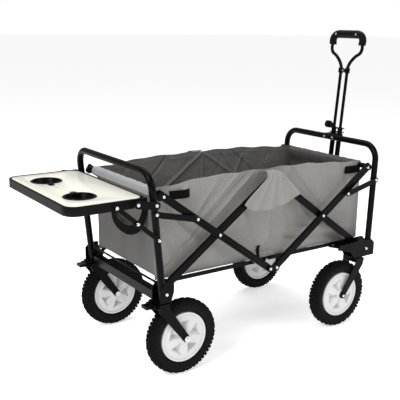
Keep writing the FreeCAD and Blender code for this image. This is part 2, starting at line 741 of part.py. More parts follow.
def middle_plates():
    """The hinge plates at the middle of each side, with their two pins."""
    low_plane = BAR_A_PLANE + size("bar_width") / 2 + 1.0 + PLATE / 2
    low = strip("low_plate", (REAR_MIDDLE, LOW), (FRONT_MIDDLE, LOW), low_plane, 20.0, PLATE, ())
    pins = [pin_y("low_pin_%d" % i, x, LOW, BAR_A_PLANE - 6.5, low_plane + PLATE / 2)
            for i, x in enumerate((REAR_MIDDLE, FRONT_MIDDLE))]
    keep(both_sides("bottom_pair", [join("low_plate_pinned", [low] + pins)]), "bottom_middle_plates")
    high_plane = BAR_B_PLANE + size("bar_width") / 2 + 1.0 + PLATE / 2
    high = strip("high_plate", (REAR_MIDDLE, HIGH), (FRONT_MIDDLE, HIGH), high_plane, 22.0, PLATE, ())
    pins = [pin_y("high_pin_%d" % i, x, HIGH, BAR_B_PLANE - 6.5, high_plane + PLATE / 2)
            for i, x in enumerate((REAR_MIDDLE, FRONT_MIDDLE))]
    keep(both_sides("top_pair", [join("high_plate_pinned", [high] + pins)]), "top_middle_plates")


LINK_END = (REAR_FIRST + SHARE * RUN, HIGH - SHARE * RISE)


def links():
    rear = strip("rear_link", LINK_PIVOT, LINK_END, LINK_PLANE, size("plate_width"), PLATE, (0, 1))
    keep(both_sides("rear_links_pair", [rear]), "rear_links")
    front_end = (mirrored_x(LINK_END[0]), LINK_END[1])
    front = strip("front_link", FRONT_LINK_PIVOT, front_end, LINK_PLANE, size("plate_width"), PLATE, (0, 1))
    keep(both_sides("front_links_pair", [front]), "front_links")


def rails():
    """The tub's floor rails, which meet at the middle of each side."""
    level, round_end = size("rail_level"), 1.0 + size("rail_height")
    rear = strip("rear_rail", RAIL_PIVOT, (MIDDLE - round_end, level), RAIL_PLANE, size("rail_height"),
                 size("rail_width"), (0,))
    keep(both_sides("rear_rails_pair", [rear]), "rear_rails")
    front = strip("front_rail", (MIDDLE + round_end, level), FRONT_RAIL_PIVOT, FRONT_RAIL_PLANE,
                  size("rail_height"), size("rail_width"), (1,))
    keep(both_sides("front_rails_pair", [front]), "front_rails")


def frame_rivets():
    """The pins that the posts and corner brackets hold."""
    outside = LINK_PLANE + PLATE / 2
    rear = [
        pin_y("link_pin", *LINK_PIVOT, HALF - 12, outside),
        pin_y("brace_pin", *BRACE_PIVOT, HALF - 12, outside),
        pin_y("bracket_pin", *BRACKET_PIVOT, HALF - 12, BRACKET_PLANE + PLATE / 2),
        pin_y("rear_bar_pin", *REAR_PIVOT, INNER_PLATE - PLATE / 2, outside),
        pin_y("rear_rail_pin", *RAIL_PIVOT, RAIL_PLANE - size("rail_width") / 2, INNER_PLATE + PLATE / 2),
    ]
    keep(both_sides("rear_rivets_pair", rear), "rear_rivets")
    front = [
        pin_y("front_link_pin", *FRONT_LINK_PIVOT, HALF - 12, outside),
        pin_y("front_bar_pin", FRONT_FIRST, LOW, INNER_PLATE - PLATE / 2, outside),
        pin_y("front_rail_pin", *FRONT_RAIL_PIVOT, FRONT_RAIL_PLANE - size("rail_width") / 2,
              INNER_PLATE + PLATE / 2),
    ]
    keep(both_sides("front_rivets_pair", front), "front_rivets")


# --------------------------------------------------------------------------
# Side table.
# --------------------------------------------------------------------------
BOARD_TOP = size("table_level") - 1.0     # the rim stands a millimetre proud


def rounded_slab(name, low, high, radius):
    """A slab whose two outer (low X) corners are round."""
    slab = block(name + "_slab", low, high)
    doc.recompute()
    edges = []
    for i, edge in enumerate(slab.Shape.Edges, start=1):
        box = edge.BoundBox
        if box.ZLength > 1 and box.XMax < (low[0] + high[0]) / 2:
            edges.append((i, radius, radius))
    rounded = add("Part::Fillet", name)
    rounded.Base = slab
    rounded.Edges = edges
    return rounded


def table():
    top, half = size("table_level"), TABLE_HALF
    inner_x = -size("table_inner")
    outer_x = inner_x - size("table_depth")
    rim_thick, corner = size("rim_thick"), size("table_corner")
    bottom = top - size("rim_height")
    outer = rounded_slab("rim_outer", (outer_x, -half, bottom), (inner_x, half, top), corner)
    hollow = rounded_slab("rim_hollow", (outer_x + rim_thick, -half + rim_thick, bottom - 1),
                          (inner_x - rim_thick, half - rim_thick, top + 1), corner - rim_thick)
    pin_holes = [cylinder("rim_hole_%d" % i, PIN_HOLE, (x, -half - 5, z), (x, half + 5, z))
                 for i, (x, z) in enumerate((TABLE_HINGE, BRACE_TOP))]
    keep(cut("table_rim_solid", outer, [hollow] + pin_holes), "table_rim")
    low_corner = (outer_x + rim_thick, -half + rim_thick, BOARD_TOP - size("board_thick"))
    board = rounded_slab("board_full", low_corner, (inner_x - rim_thick, half - rim_thick, BOARD_TOP),
                         corner - rim_thick)
    holes = []
    for i, side in enumerate((-1, 1)):
        x, y = -size("cup_back"), side * size("cup_offset")
        below, above = BOARD_TOP - size("cup_depth"), BOARD_TOP + size("cup_depth")
        seat = BOARD_TOP - size("cup_flange")
        holes.append(cylinder("board_hole_%d" % i, "sizes.cup_radius - sizes.cup_lip + 0.2",
                              (x, y, below), (x, y, above)))
        holes.append(cylinder("flange_seat_%d" % i, "sizes.cup_radius + 0.2", (x, y, seat), (x, y, above)))
    keep(cut("board_cut", board, holes), "table_board")


def cup_holders():
    """Two cups whose flanges lie flush in seats in the board."""
    top = BOARD_TOP
    cups = []
    for i, side in enumerate((-1, 1)):
        x, y = -size("cup_back"), side * size("cup_offset")
        flange = cylinder("cup_flange_%d" % i, "sizes.cup_radius", (x, y, top - size("cup_flange")),
                          (x, y, top))
        low = top - size("cup_depth")
        wall = cylinder("cup_wall_%d" % i, "sizes.cup_radius - sizes.cup_lip", (x, y, low), (x, y, top))
        room = cylinder("cup_room_%d" % i, "sizes.cup_radius - sizes.cup_lip - sizes.cup_wall",
                        (x, y, low + size("cup_wall")), (x, y, top + 5))
        cups.append(cut("cup_%d" % i, join("cup_solid_%d" % i, [flange, wall]), [room]))
    keep(group("cup_pair", cups), "cup_holders")


BRACE_TOP = (-size("brace_back"), TABLE_HINGE[1] - 2.0)
BRACE_SHARE = 0.525
BRACE_KNEE = (BRACE_PIVOT[0] + BRACE_SHARE * (BRACE_TOP[0] - BRACE_PIVOT[0]),
              BRACE_PIVOT[1] + BRACE_SHARE * (BRACE_TOP[1] - BRACE_PIVOT[1]))
BRACE_UPPER_PLANE = LINK_PLANE - PLATE - 1.0


def table_fittings():
    bracket = strip("table_bracket", BRACKET_PIVOT, TABLE_HINGE, BRACKET_PLANE,
                    size("plate_width") + 4, PLATE, (0, 1))
    keep(both_sides("table_brackets_pair", [bracket]), "table_brackets")
    lower = strip("brace_lower", BRACE_PIVOT, BRACE_KNEE, LINK_PLANE, size("brace_width"), PLATE, (0, 1))
    keep(both_sides("braces_lower_pair", [lower]), "braces_lower")
    upper = strip("brace_upper", BRACE_KNEE, BRACE_TOP, BRACE_UPPER_PLANE, size("brace_width"), PLATE, (0, 1))
    keep(both_sides("braces_upper_pair", [upper]), "braces_upper")
    inside = TABLE_HALF - size("rim_thick")
    pins = [pin_y("hinge_pin", *TABLE_HINGE, inside, BRACKET_PLANE + PLATE / 2),
            pin_y("brace_top_pin", *BRACE_TOP, inside, BRACE_UPPER_PLANE + PLATE / 2)]
    keep(both_sides("table_rivets_pair", pins), "table_rivets")


# --------------------------------------------------------------------------
# Pull handle.  Built upright about its pivot, then leaned forward.
# --------------------------------------------------------------------------
LEAN = Placement(Vector(PIVOT_ROD[0], 0, PIVOT_ROD[1]), Rotation(Vector(0, 1, 0), size("handle_lean")))


def lean_forward(piece):
    piece.Placement = LEAN.multiply(piece.Placement)
    return piece


def along(level):
    """Distance up the handle from its pivot to a height of the wagon."""
    return (level - PIVOT_ROD[1]) / math.cos(math.radians(size("handle_lean")))


def upright(name, radius, y, low, high):
    return cylinder(name, radius, (0, y, low), (0, y, high))


def handle():
    half = size("handle_spacing") / 2
    top = along(size("handle_clamp_level"))
    tubes = []
    for i, y in enumerate((-half, half)):
        outer = upright("handle_outer_%d" % i, "sizes.handle_tube_radius", y, -8, top + 20)
        bore = upright("handle_bore_%d" % i, "sizes.handle_tube_radius - sizes.handle_tube_wall",
                       y, -10, top + 21)
        pivot = cylinder("handle_pivot_hole_%d" % i, PIN_HOLE, (0, y - 12, 0), (0, y + 12, 0))
        tubes.append(cut("handle_tube_%d" % i, outer, [bore, pivot]))
    keep(lean_forward(group("handle_tube_pair", tubes)), "handle_tubes")

    thick, wide, tall = size("clamp_thick"), size("clamp_half_width"), size("clamp_height")
    body = block("clamp_body", (-thick / 2, -wide, top), (thick / 2, wide, top + tall))
    tools = []
    for i, y in enumerate((-half, half)):
        tools.append(upright("clamp_tube_room_%d" % i, "sizes.handle_tube_radius + 0.05",
                             y, top - 1, top + 20.2))
        tools.append(upright("clamp_rod_room_%d" % i, "sizes.rod_radius + 0.1", y, top, top + tall + 1))
    tools.append(cylinder("clamp_button_room", "6.1", (0, wide - 8, top + tall / 2),
                          (0, wide + 1, top + tall / 2)))
    keep(lean_forward(cut("clamp_solid", body, tools)), "handle_clamp")

    shank = cylinder("button_shank", "6.0", (0, wide - 3, top + tall / 2), (0, wide + 6, top + tall / 2))
    head = cylinder("button_head", "12.0", (0, wide + 5, top + tall / 2), (0, wide + 20, top + tall / 2))
    keep(lean_forward(join("button_solid", [shank, head])), "clamp_button")

    collar_low = along(size("collar_level"))
    rods_low = top - 130
    pieces = []
    for i, y in enumerate((-half, half)):
        pieces.append(upright("rod_%d" % i, "sizes.rod_radius", y, rods_low, collar_low + 12))
    pieces.append(block("collar", (-7, -half - 11, collar_low), (7, half + 11, collar_low + 9)))
    grip_low = along(size("grip_level"))
    grip_axis = along(size("grip_top")) - size("grip_radius")
    reach = size("grip_half") - 4
    for i, side in enumerate((-1, 1)):
        knees = [(side * half, collar_low + 12), (side * (half + 4), collar_low + 26),
                 (side * (reach - 8), grip_low - 14), (side * reach, grip_low + 6),
                 (side * reach, grip_axis - 18)]
        for j in range(len(knees) - 1):
            a, b = knees[j], knees[j + 1]
            pieces.append(cylinder("loop_%d_%d" % (i, j), "sizes.loop_radius",
                                   (0, a[0], a[1]), (0, b[0], b[1])))
            ball = add("Part::Sphere", "loop_ball_%d_%d" % (i, j))
            bind(ball, Radius="sizes.loop_radius")
            ball.Placement.Base = Vector(0, b[0], b[1])
            pieces.append(ball)
    keep(lean_forward(join("rods_solid", pieces)), "handle_rods")

    grips = [cylinder("grip_middle", "sizes.grip_radius", (0, -43, grip_axis), (0, 43, grip_axis))]
    for i, side in enumerate((-1, 1)):
        corner = 18.0
        bend = add("Part::Torus", "grip_bend_%d" % i)
        bend.Radius1 = corner
        bind(bend, Radius2="sizes.grip_radius")
        bend.Angle3 = 90
        if side > 0:
            turn = Rotation(Vector(0, 1, 0), Vector(0, 0, 1), Vector(1, 0, 0), "ZXY")
        else:
            turn = Rotation(Vector(0, 0, 1), Vector(0, -1, 0), Vector(1, 0, 0), "ZXY")
        bend.Placement = Placement(Vector(0, side * (reach - corner), grip_axis - corner), turn)
        grips.append(bend)
    keep(lean_forward(group("grips_group", grips)), "handle_grips")


def handle_rest():
    """The block on the front top bar that the handle's tubes snap into."""
    level = size("frame_height") - TUBE
    lean = math.radians(size("front_lean"))
    up = level - size("lean_level")
    bar_x = GAP + up * math.sin(lean)
    bar_z = size("lean_level") + up * math.cos(lean)
    half = size("handle_spacing") / 2
    axis_x = PIVOT_ROD[0] + (bar_z - PIVOT_ROD[1]) * math.tan(math.radians(size("handle_lean")))
    body = block("rest_body", (bar_x, -half - 14, bar_z - 9), (axis_x + 2, half + 14, bar_z + 9))
    bar = cylinder("rest_bar_room", "sizes.tube_radius + 0.02", (bar_x, -60, bar_z), (bar_x, 60, bar_z))
    tools = [bar]
    for i, y in enumerate((-half, half)):
        room = lean_forward(upright("rest_tube_room_%d" % i, "sizes.handle_tube_radius + 0.4", y, 200, 420))
        tools.append(room)
        lane = lean_forward(block("rest_lane_%d" % i, (0, y - size("handle_tube_radius") - 0.4, 200),
                                  (40, y + size("handle_tube_radius") + 0.4, 420)))
        tools.append(lane)
    keep(cut("handle_rest_solid", body, tools), "handle_rest")


# --------------------------------------------------------------------------
# Fabric tub: plain closed panels of the true size.
# --------------------------------------------------------------------------
def tub():
    cloth = size("cloth")
    top, floor = size("tub_top"), size("tub_floor")
    rear, front = REAR_FIRST + 12, FRONT_FIRST - 12
    half = CLOTH_PLANE
    inside = half - cloth / 2 - 0.3
    keep(block("floor_panel", (rear + cloth, -inside, floor), (front - cloth, inside, floor + cloth)),
         "tub_floor")
    for side, y in (("right", -half), ("left", half)):
        keep(block("side_panel_" + side, (rear, y - cloth / 2, floor - 4), (front, y + cloth / 2, top)),
             "tub_side_" + side)
    for end, x in (("rear", rear), ("front", front - cloth)):
        hem_x, hem_z = upper_tube_axis(end)
        keep(block("end_panel_" + end, (x, -inside, floor + cloth + 0.3), (x + cloth, inside, HIGH - 16)),
             "tub_end_" + end)
        ring = cylinder("hem_outer_" + end, "sizes.hem_radius", (hem_x, -half + 2, hem_z),
                        (hem_x, half - 2, hem_z))
        core = cylinder("hem_core_" + end, "sizes.cross_tube_radius + 0.4", (hem_x, -half, hem_z),
                        (hem_x, half, hem_z))
        keep(cut("hem_" + end, ring, [core]), "tub_hem_" + end)
    flap_plane = BAR_A_PLANE + size("bar_width") / 2 + 8.0
    flap = outline_plate("flap", [(MIDDLE - 108, HIGH - 46), (MIDDLE - 60, HIGH - 66), (MIDDLE, HIGH - 74),
                                  (MIDDLE + 60, HIGH - 66), (MIDDLE + 108, HIGH - 46), (MIDDLE, HIGH + 20)],
                         flap_plane, flap_plane + cloth)
    keep(both_sides("flaps_pair", [flap]), "tub_flaps")
    x = REAR_FIRST - 14
    web = 2.0
    level = size("brace_low") - 18
    strap = block("strap_low", (x - web, -58, level), (x, 58, level + 30))
    keep(strap, "carry_strap")


def place_on_ground_centre():
    """Moves every sub-part so that the origin is at the middle of the underside."""
    doc.recompute()
    box = FreeCAD.BoundBox()
    for piece in PARTS:
        box.add(piece.Shape.BoundBox)
    shift = Vector(-(box.XMin + box.XMax) / 2, -(box.YMin + box.YMax) / 2, -box.ZMin)
    for piece in PARTS:
        piece.Placement = Placement(shift, Rotation()).multiply(piece.Placement)
    doc.recompute()
    return shift, box


def check_document():
    for thing in doc.Objects:
        for word in ("Invalid", "Error"):
            if word in thing.State:
                raise RuntimeError("%s is %s" % (thing.Label, thing.State))
    for piece in PARTS:
        shape = piece.Shape
        if shape.isNull() or not shape.isValid() or not shape.Solids:
            raise RuntimeError(piece.Label + " has no valid solid")


rear_frame()
front_frame()
rear_brackets()
front_brackets()
rear_cross_bar()
front_cross_bar()
rear_forks()
pedals()
casters()
wheels()
crossed_bars()
upper_tubes()
middle_plates()
links()
rails()
frame_rivets()
table()
cup_holders()
table_fittings()
handle()
handle_rest()
tub()
SHIFT, BOX = place_on_ground_centre()
check_document()
for piece in PARTS:
    piece.Shape.exportStep("parts/%s.step" % piece.Label)
print(len(PARTS), "sub-parts, box", BOX, "shift", SHIFT)
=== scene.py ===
# %% [markdown]
# A folding wagon: a cloth tub hung in crossed side bars between two bent end frames, on two
# fixed and two swivelling wheels, with a drop-down side table and a pull handle.
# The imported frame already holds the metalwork, sized and jointed. This lesson dresses it:
# the cloth, the tread, the moulded plastic and every finish. Each new piece is placed from
# the frame's own boxes and pivots, so it can't drift from the part that it belongs to.

# %% Load the frame
import json
import math
import bmesh
import bpy
from mathutils import Matrix, Vector, noise


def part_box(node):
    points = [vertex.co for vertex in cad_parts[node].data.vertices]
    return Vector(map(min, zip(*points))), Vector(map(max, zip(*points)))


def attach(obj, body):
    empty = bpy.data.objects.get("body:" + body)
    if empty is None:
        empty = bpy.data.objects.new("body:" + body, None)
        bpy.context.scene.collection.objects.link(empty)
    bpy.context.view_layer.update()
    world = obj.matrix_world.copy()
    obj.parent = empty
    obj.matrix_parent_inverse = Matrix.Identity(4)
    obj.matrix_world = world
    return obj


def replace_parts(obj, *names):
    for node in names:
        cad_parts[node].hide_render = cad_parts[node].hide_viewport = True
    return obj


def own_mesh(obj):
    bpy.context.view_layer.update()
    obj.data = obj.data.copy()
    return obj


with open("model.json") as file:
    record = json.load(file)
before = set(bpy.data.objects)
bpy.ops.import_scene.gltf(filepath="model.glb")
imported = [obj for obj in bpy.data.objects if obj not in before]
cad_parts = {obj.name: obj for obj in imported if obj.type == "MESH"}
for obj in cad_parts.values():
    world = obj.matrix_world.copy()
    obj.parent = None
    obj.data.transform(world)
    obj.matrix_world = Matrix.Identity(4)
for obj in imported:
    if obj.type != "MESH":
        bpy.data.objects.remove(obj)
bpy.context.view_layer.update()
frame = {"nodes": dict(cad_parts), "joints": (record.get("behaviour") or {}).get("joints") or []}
NODES = frame["nodes"]
PIVOT = {joint["name"]: Vector(joint["pos_m"]) for joint in frame["joints"] if "pos_m" in joint}
MM = 0.001

# %% [markdown]
# The camera stands behind the wagon's right shoulder, a little above the rim, with a short
# telephoto lens. It could be aimed with a Track To constraint, but a direction, a roll and a
# small shift say the same thing with nothing left live in the scene.

# %% Camera
EYE = Vector((-1.2080, -1.6962, 0.9251))
AIM = Vector((0.0597, 0.1303, 0.3765))
ROLL = math.radians(0.8)


def set_camera():
    lens = bpy.data.cameras.new("camera")
    lens.lens = 64.75
    lens.shift_x = -0.0055
    lens.shift_y = -0.0027
    camera = bpy.data.objects.new("camera", lens)
    aimed = (AIM - EYE).to_track_quat("-Z", "Y").to_matrix().to_4x4()
    camera.matrix_world = Matrix.Translation(EYE) @ aimed @ Matrix.Rotation(ROLL, 4, "Z")
    bpy.context.scene.collection.objects.link(camera)
    bpy.context.scene.camera = camera


set_camera()
print("camera to aim", round((AIM - EYE).length, 3), "m")

# %% [markdown]
# Modelling by script follows the same habits as modelling by hand: clear the selection, add a
# primitive, pick faces by where they are, push them about, then apply. These few helpers keep
# those habits in one place.

# %% Bench tools
def deselect():
    bpy.ops.object.select_all(action="DESELECT")


def hold(piece):
    """Makes one piece the selected and active one."""
    deselect()
    piece.select_set(True)
    bpy.context.view_layer.objects.active = piece


def fresh(name):
    """Names the primitive that was just added."""
    piece = bpy.context.object
    piece.name = name
    piece.data.name = name
    return piece


def settle(piece):
    """Moves the object's place, turn and scale into its mesh."""
    hold(piece)
    bpy.ops.object.transform_apply(location=True, rotation=True, scale=True)
    return piece


def modify(piece, kind, **settings):
    """Adds a modifier, sets it up and applies it."""
    hold(piece)
    change = piece.modifiers.new(kind.title(), kind)
    for setting, value in settings.items():
        setattr(change, setting, value)
    bpy.ops.object.modifier_apply(modifier=change.name)
    return piece


def pick(piece, wanted, kind="FACE"):
    """Enters edit mode with only the wanted faces, edges or points selected."""
    hold(piece)
    bpy.ops.object.mode_set(mode="EDIT")
    bpy.ops.mesh.select_mode(type=kind)
    bpy.ops.mesh.select_all(action="DESELECT")
    shape = bmesh.from_edit_mesh(piece.data)
    items = {"FACE": shape.faces, "EDGE": shape.edges, "VERT": shape.verts}[kind]
    for item in items:
        if wanted(item):
            item.select_set(True)
    shape.select_flush_mode()
    bmesh.update_edit_mesh(piece.data)


def leave_edit():
    bpy.ops.object.mode_set(mode="OBJECT")


def outward(piece):
    """Merges doubles and points every face outwards."""
    pick(piece, lambda face: True)
    bpy.ops.mesh.remove_doubles(threshold=0.02 * MM)
    bpy.ops.mesh.normals_make_consistent(inside=False)
    leave_edit()
    return piece


def smooth(piece, degrees=35):
    hold(piece)
    bpy.ops.object.shade_smooth_by_angle(angle=math.radians(degrees))
    return piece


def join(name, pieces):
    """One piece from several."""
    deselect()
    for piece in pieces:
        piece.select_set(True)
    bpy.context.view_layer.objects.active = pieces[0]
    if len(pieces) > 1:
        bpy.ops.object.join()
    return fresh(name)


def copy_of(piece, name, place):
    """A copy with a mesh of its own, put where a matrix says."""
    twin = piece.copy()
    twin.data = piece.data.copy()
    twin.name = name
    twin.data.name = name
    bpy.context.scene.collection.objects.link(twin)
    twin.data.transform(place)
    if place.determinant() < 0:
        twin.data.flip_normals()
    return twin


def across(x, side, face, z):
    """Turns a piece that points up +Z to point out of the wagon's side, at x, z and |Y| = face."""
    turn = Matrix.Rotation(math.radians(-90 * side), 4, "X")
    return Matrix.Translation((x, side * face, z)) @ turn


def drop(piece):
    bpy.data.objects.remove(piece)


print("bench tools ready")

# %% [markdown]
# Finishes. Effects that several materials share are node groups: the thread pattern of woven
# cloth, the orange peel of a sprayed or moulded surface, and rubbed patches that change the
# gloss. A texture image would be quicker, but a procedure has no size limit and no seams.

# %% Node helpers
def new_group(name, numbers, results):
    """A shader node group: a place and named numbers go in, and named numbers come out."""
    group = bpy.data.node_groups.new(name, "ShaderNodeTree")
    group.interface.new_socket("Vector", in_out="INPUT", socket_type="NodeSocketVector")
    for title, value in numbers.items():
        socket = group.interface.new_socket(title, in_out="INPUT", socket_type="NodeSocketFloat")
        socket.default_value = value
    for title in results:
        group.interface.new_socket(title, in_out="OUTPUT", socket_type="NodeSocketFloat")
    return group, group.nodes.new("NodeGroupInput"), group.nodes.new("NodeGroupOutput")


def node(tree, kind, links=(), **settings):
    """Adds a node, sets its properties, then values or links of its inputs."""
    made = tree.nodes.new(kind)
    for setting, value in settings.items():
        setattr(made, setting, value)
    for socket, source in dict(links).items():
        if isinstance(source, bpy.types.NodeSocket):
            tree.links.new(source, made.inputs[socket])
        else:
            made.inputs[socket].default_value = source
    return made


def arithmetic(tree, operation, first, second=0.0):
    return node(tree, "ShaderNodeMath", {0: first, 1: second}, operation=operation).outputs[0]


def noise_of(tree, place, scale, detail=3.0, roughness=0.55):
    """A grey noise pattern at a place, about 0.5 on average."""
    links = {"Vector": place, "Scale": scale, "Detail": detail, "Roughness": roughness}
    return node(tree, "ShaderNodeTexNoise", links).outputs["Fac"]


def remap(tree, value, low, high, to_low, to_high):
    links = {"Value": value, "From Min": low, "From Max": high, "To Min": to_low, "To Max": to_high}
    return node(tree, "ShaderNodeMapRange", links).outputs["Result"]


print("node helpers ready")

# %% Shared effects
def make_peel():
    """Fine orange peel, as sprayed or moulded surfaces have."""
    group, given, out = new_group("peel", {"Scale": 900.0}, ["Height"])
    height = noise_of(group, given.outputs["Vector"], given.outputs["Scale"], 2.0)
    group.links.new(height, out.inputs["Height"])
    return group


def make_rub():
    """Patches of handling: where they are strong, the gloss is duller and the colour lighter."""
    group, given, out = new_group("rub", {"Amount": 0.5}, ["Mask"])
    broad = noise_of(group, given.outputs["Vector"], 9.0, 4.0)
    fine = noise_of(group, given.outputs["Vector"], 140.0, 5.0, 0.7)
    product = arithmetic(group, "MULTIPLY", broad, fine)
    mask = remap(group, product, 0.22, 0.42, 0.0, 1.0)
    group.links.new(arithmetic(group, "MULTIPLY", mask, given.outputs["Amount"]), out.inputs["Mask"])
    return group


def make_weave():
    """Plain weave: two sets of threads that take turns on top."""
    group, given, out = new_group("weave", {"Threads": 1400.0}, ["Height", "Shade"])
    waves = []
    for direction in ("X", "Y"):
        scale = arithmetic(group, "MULTIPLY", given.outputs["Threads"], 0.05)
        links = {"Vector": given.outputs["Vector"], "Scale": scale, "Distortion": 0.6, "Detail": 1.0,
                 "Detail Scale": 0.4}
        waves.append(node(group, "ShaderNodeTexWave", links, bands_direction=direction).outputs["Fac"])
    crossed = arithmetic(group, "MULTIPLY", waves[0], waves[1])
    slub = noise_of(group, given.outputs["Vector"], 260.0, 3.0)
    shade = arithmetic(group, "ADD", arithmetic(group, "MULTIPLY", crossed, 0.2),
                       arithmetic(group, "MULTIPLY", slub, 0.8))
    group.links.new(crossed, out.inputs["Height"])
    group.links.new(shade, out.inputs["Shade"])
    return group


PEEL, RUB, WEAVE = make_peel(), make_rub(), make_weave()
print("shared effects", PEEL.name, RUB.name, WEAVE.name)

# %% [markdown]
# Hard finishes. Powder coat, moulded plastic, rubber and bright steel are all one Principled
# shader with a base colour, a gloss that the rub mask breaks up, and a peel bump. Only the
# numbers differ, so one maker serves them all.

# %% Hard finishes
def new_material(name):
    material = bpy.data.materials.new(name)
    material.use_nodes = True
    tree = material.node_tree
    return material, tree, tree.nodes["Principled BSDF"]


def grouped(tree, group, links):
    return node(tree, "ShaderNodeGroup", links, node_tree=group)


def mixed(tree, share, first, second):
    """A colour between two colours. Inputs 6 and 7 and output 2 are the mix node's colour sockets."""
    links = {0: share, 6: (*first, 1.0), 7: (*second, 1.0)}
    return node(tree, "ShaderNodeMix", links, data_type="RGBA").outputs[2]


def hard_finish(name, colour, worn, gloss, dull, peel_scale, peel_depth, metallic=0.0, glare=0.5, rubbed=0.6):
    """A coated, moulded or bare surface. gloss and dull are its roughness where clean and where rubbed."""
    material, tree, shader = new_material(name)
    place = node(tree, "ShaderNodeTexCoord").outputs["Object"]
    mask = grouped(tree, RUB, {"Vector": place, "Amount": rubbed}).outputs["Mask"]
    tree.links.new(mixed(tree, mask, colour, worn), shader.inputs["Base Color"])
    tree.links.new(remap(tree, mask, 0.0, 1.0, gloss, dull), shader.inputs["Roughness"])
    shader.inputs["Metallic"].default_value = metallic
    shader.inputs["Specular IOR Level"].default_value = glare
    height = grouped(tree, PEEL, {"Vector": place, "Scale": peel_scale}).outputs["Height"]
    bump = node(tree, "ShaderNodeBump", {"Height": height, "Strength": 0.5, "Distance": peel_depth})
    tree.links.new(bump.outputs["Normal"], shader.inputs["Normal"])
    return material


GLOSS_BLACK = hard_finish("gloss_black_coat", (0.0018, 0.0018, 0.002), (0.004, 0.004, 0.0045), 0.26, 0.4,
                          700.0, 0.05 * MM, glare=0.07)
DULL_BLACK = hard_finish("moulded_black", (0.003, 0.003, 0.0032), (0.008, 0.008, 0.0085), 0.42, 0.6, 1600.0,
                         0.12 * MM, glare=0.08)
RUBBER = hard_finish("tread_rubber", (0.0035, 0.0035, 0.0037), (0.01, 0.0096, 0.009), 0.62, 0.85, 500.0,
                     0.25 * MM, glare=0.08)
WHITE_HUB_PLASTIC = hard_finish("white_moulding", (0.62, 0.62, 0.62), (0.52, 0.52, 0.51), 0.3, 0.5, 1100.0,
                                0.06 * MM, rubbed=0.35)
BRIGHT_STEEL = hard_finish("bright_rivet_steel", (0.62, 0.62, 0.63), (0.42, 0.42, 0.43), 0.2, 0.45, 1500.0,
                           0.03 * MM, metallic=1.0)
CREAM_BOARD = hard_finish("cream_laminate", (0.8, 0.78, 0.69), (0.72, 0.7, 0.61), 0.22, 0.4, 420.0, 0.04 * MM,
                          rubbed=0.4)
print("hard finishes", len(bpy.data.materials))

# %% [markdown]
# Cloth finishes. Woven polyester is matt and throws little glare. The thread pattern could be
# placed by Object coordinates, but it follows each sheet's own UV map, laid out in metres, so
# the weave is the same size on every panel and turns with the cloth.

# %% Cloth finishes
def cloth_finish(name, dark, light, threads, rough=0.9, depth=0.25 * MM, glare=0.2):
    material, tree, shader = new_material(name)
    weave_place = node(tree, "ShaderNodeUVMap", uv_map="UVMap").outputs["UV"]
    place = node(tree, "ShaderNodeTexCoord").outputs["Object"]
    weave = grouped(tree, WEAVE, {"Vector": weave_place, "Threads": threads})
    cloud = noise_of(tree, place, 7.0, 4.0)
    share = arithmetic(tree, "ADD", arithmetic(tree, "MULTIPLY", weave.outputs["Shade"], 0.6),
                       arithmetic(tree, "MULTIPLY", cloud, 0.4))
    tree.links.new(mixed(tree, share, dark, light), shader.inputs["Base Color"])
    shader.inputs["Roughness"].default_value = rough
    shader.inputs["Specular IOR Level"].default_value = glare
    links = {"Height": weave.outputs["Height"], "Strength": 0.15, "Distance": depth}
    bump = node(tree, "ShaderNodeBump", links)
    tree.links.new(bump.outputs["Normal"], shader.inputs["Normal"])
    return material


GREY_CLOTH = cloth_finish("grey_polyester", (0.15, 0.147, 0.138), (0.37, 0.362, 0.34), 1300.0)
HEM_CLOTH = cloth_finish("pale_hem_polyester", (0.24, 0.245, 0.25), (0.45, 0.45, 0.46), 1300.0)
LAP_CLOTH = cloth_finish("lap_polyester", (0.27, 0.265, 0.25), (0.46, 0.45, 0.425), 1300.0)
# A darker copy of the grey cloth for the sheets' second faces: painted shade, as the tub's inside has.
SHADE_PAINTED_GREY = cloth_finish("painted_shade_grey", (0.075, 0.073, 0.071), (0.17, 0.165, 0.16), 1300.0, rough=0.7)
END_CLOTH = cloth_finish("end_polyester", (0.09, 0.092, 0.093), (0.22, 0.224, 0.226), 1300.0)
# A much darker copy of the grey cloth for the front end, its roll and the floor: painted shade deep in the
# tub.
DEEP_SHADE_CLOTH = cloth_finish("painted_deep_shade", (0.045, 0.043, 0.042), (0.11, 0.107, 0.104), 1300.0, rough=0.7)
WEBBING = cloth_finish("black_webbing", (0.002, 0.002, 0.002), (0.008, 0.008, 0.008), 700.0,
                       depth=0.5 * MM, glare=0.05)
print("cloth finishes done,", len(bpy.data.materials), "materials")

# %% Hand a finished piece over
def finished(piece, body, slot, *materials):
    """Gives a piece its material and its body. The slot is not used."""
    piece.data.materials.clear()
    for material in materials:
        piece.data.materials.append(material)
    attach(piece, body)
    return piece


def repaint(material, *names):
    for name in names:
        data = NODES[name].data
        data.materials.clear()
        data.materials.append(material)


# %% [markdown]
# The metalwork comes from the frame as it is. Its sharp box corners would look cut from card.
# They could be modelled again by hand, but a live weld and bevel on the square-edged nodes
# rounds only the real edges, so that they catch the light, and leaves each node as packed.

# %% Metalwork
COATED = [name for name in NODES if name.startswith(("bars_", "braces_", "caster_fork_", "brake_pedal_"))
          or name.endswith(("_end_frame", "_corner_brackets", "_cross_bar", "_upper_tube", "_middle_plates",
                            "_links", "_rails"))
          or name in ("table_brackets", "rear_forks", "handle_tubes")]
STEEL = ("rear_axles", "rear_rivets", "front_rivets", "crossing_pins_rear", "crossing_pins_front",
         "table_rivets", "handle_pivot_rod")
MOULDED = ("handle_rest", "table_rim")
ROUND_EDGES = {"bars_a": 1.1, "bars_b": 1.1, "bars_d": 1.1, "bars_e": 1.1, "table_rim": 1.6,
               "rear_forks": 0.6, "caster_fork_right": 0.6, "caster_fork_left": 0.6, "rear_cross_bar": 1.0,
               "front_cross_bar": 1.0, "rear_corner_brackets": 0.5, "front_corner_brackets": 0.5,
               "handle_rest": 1.5}


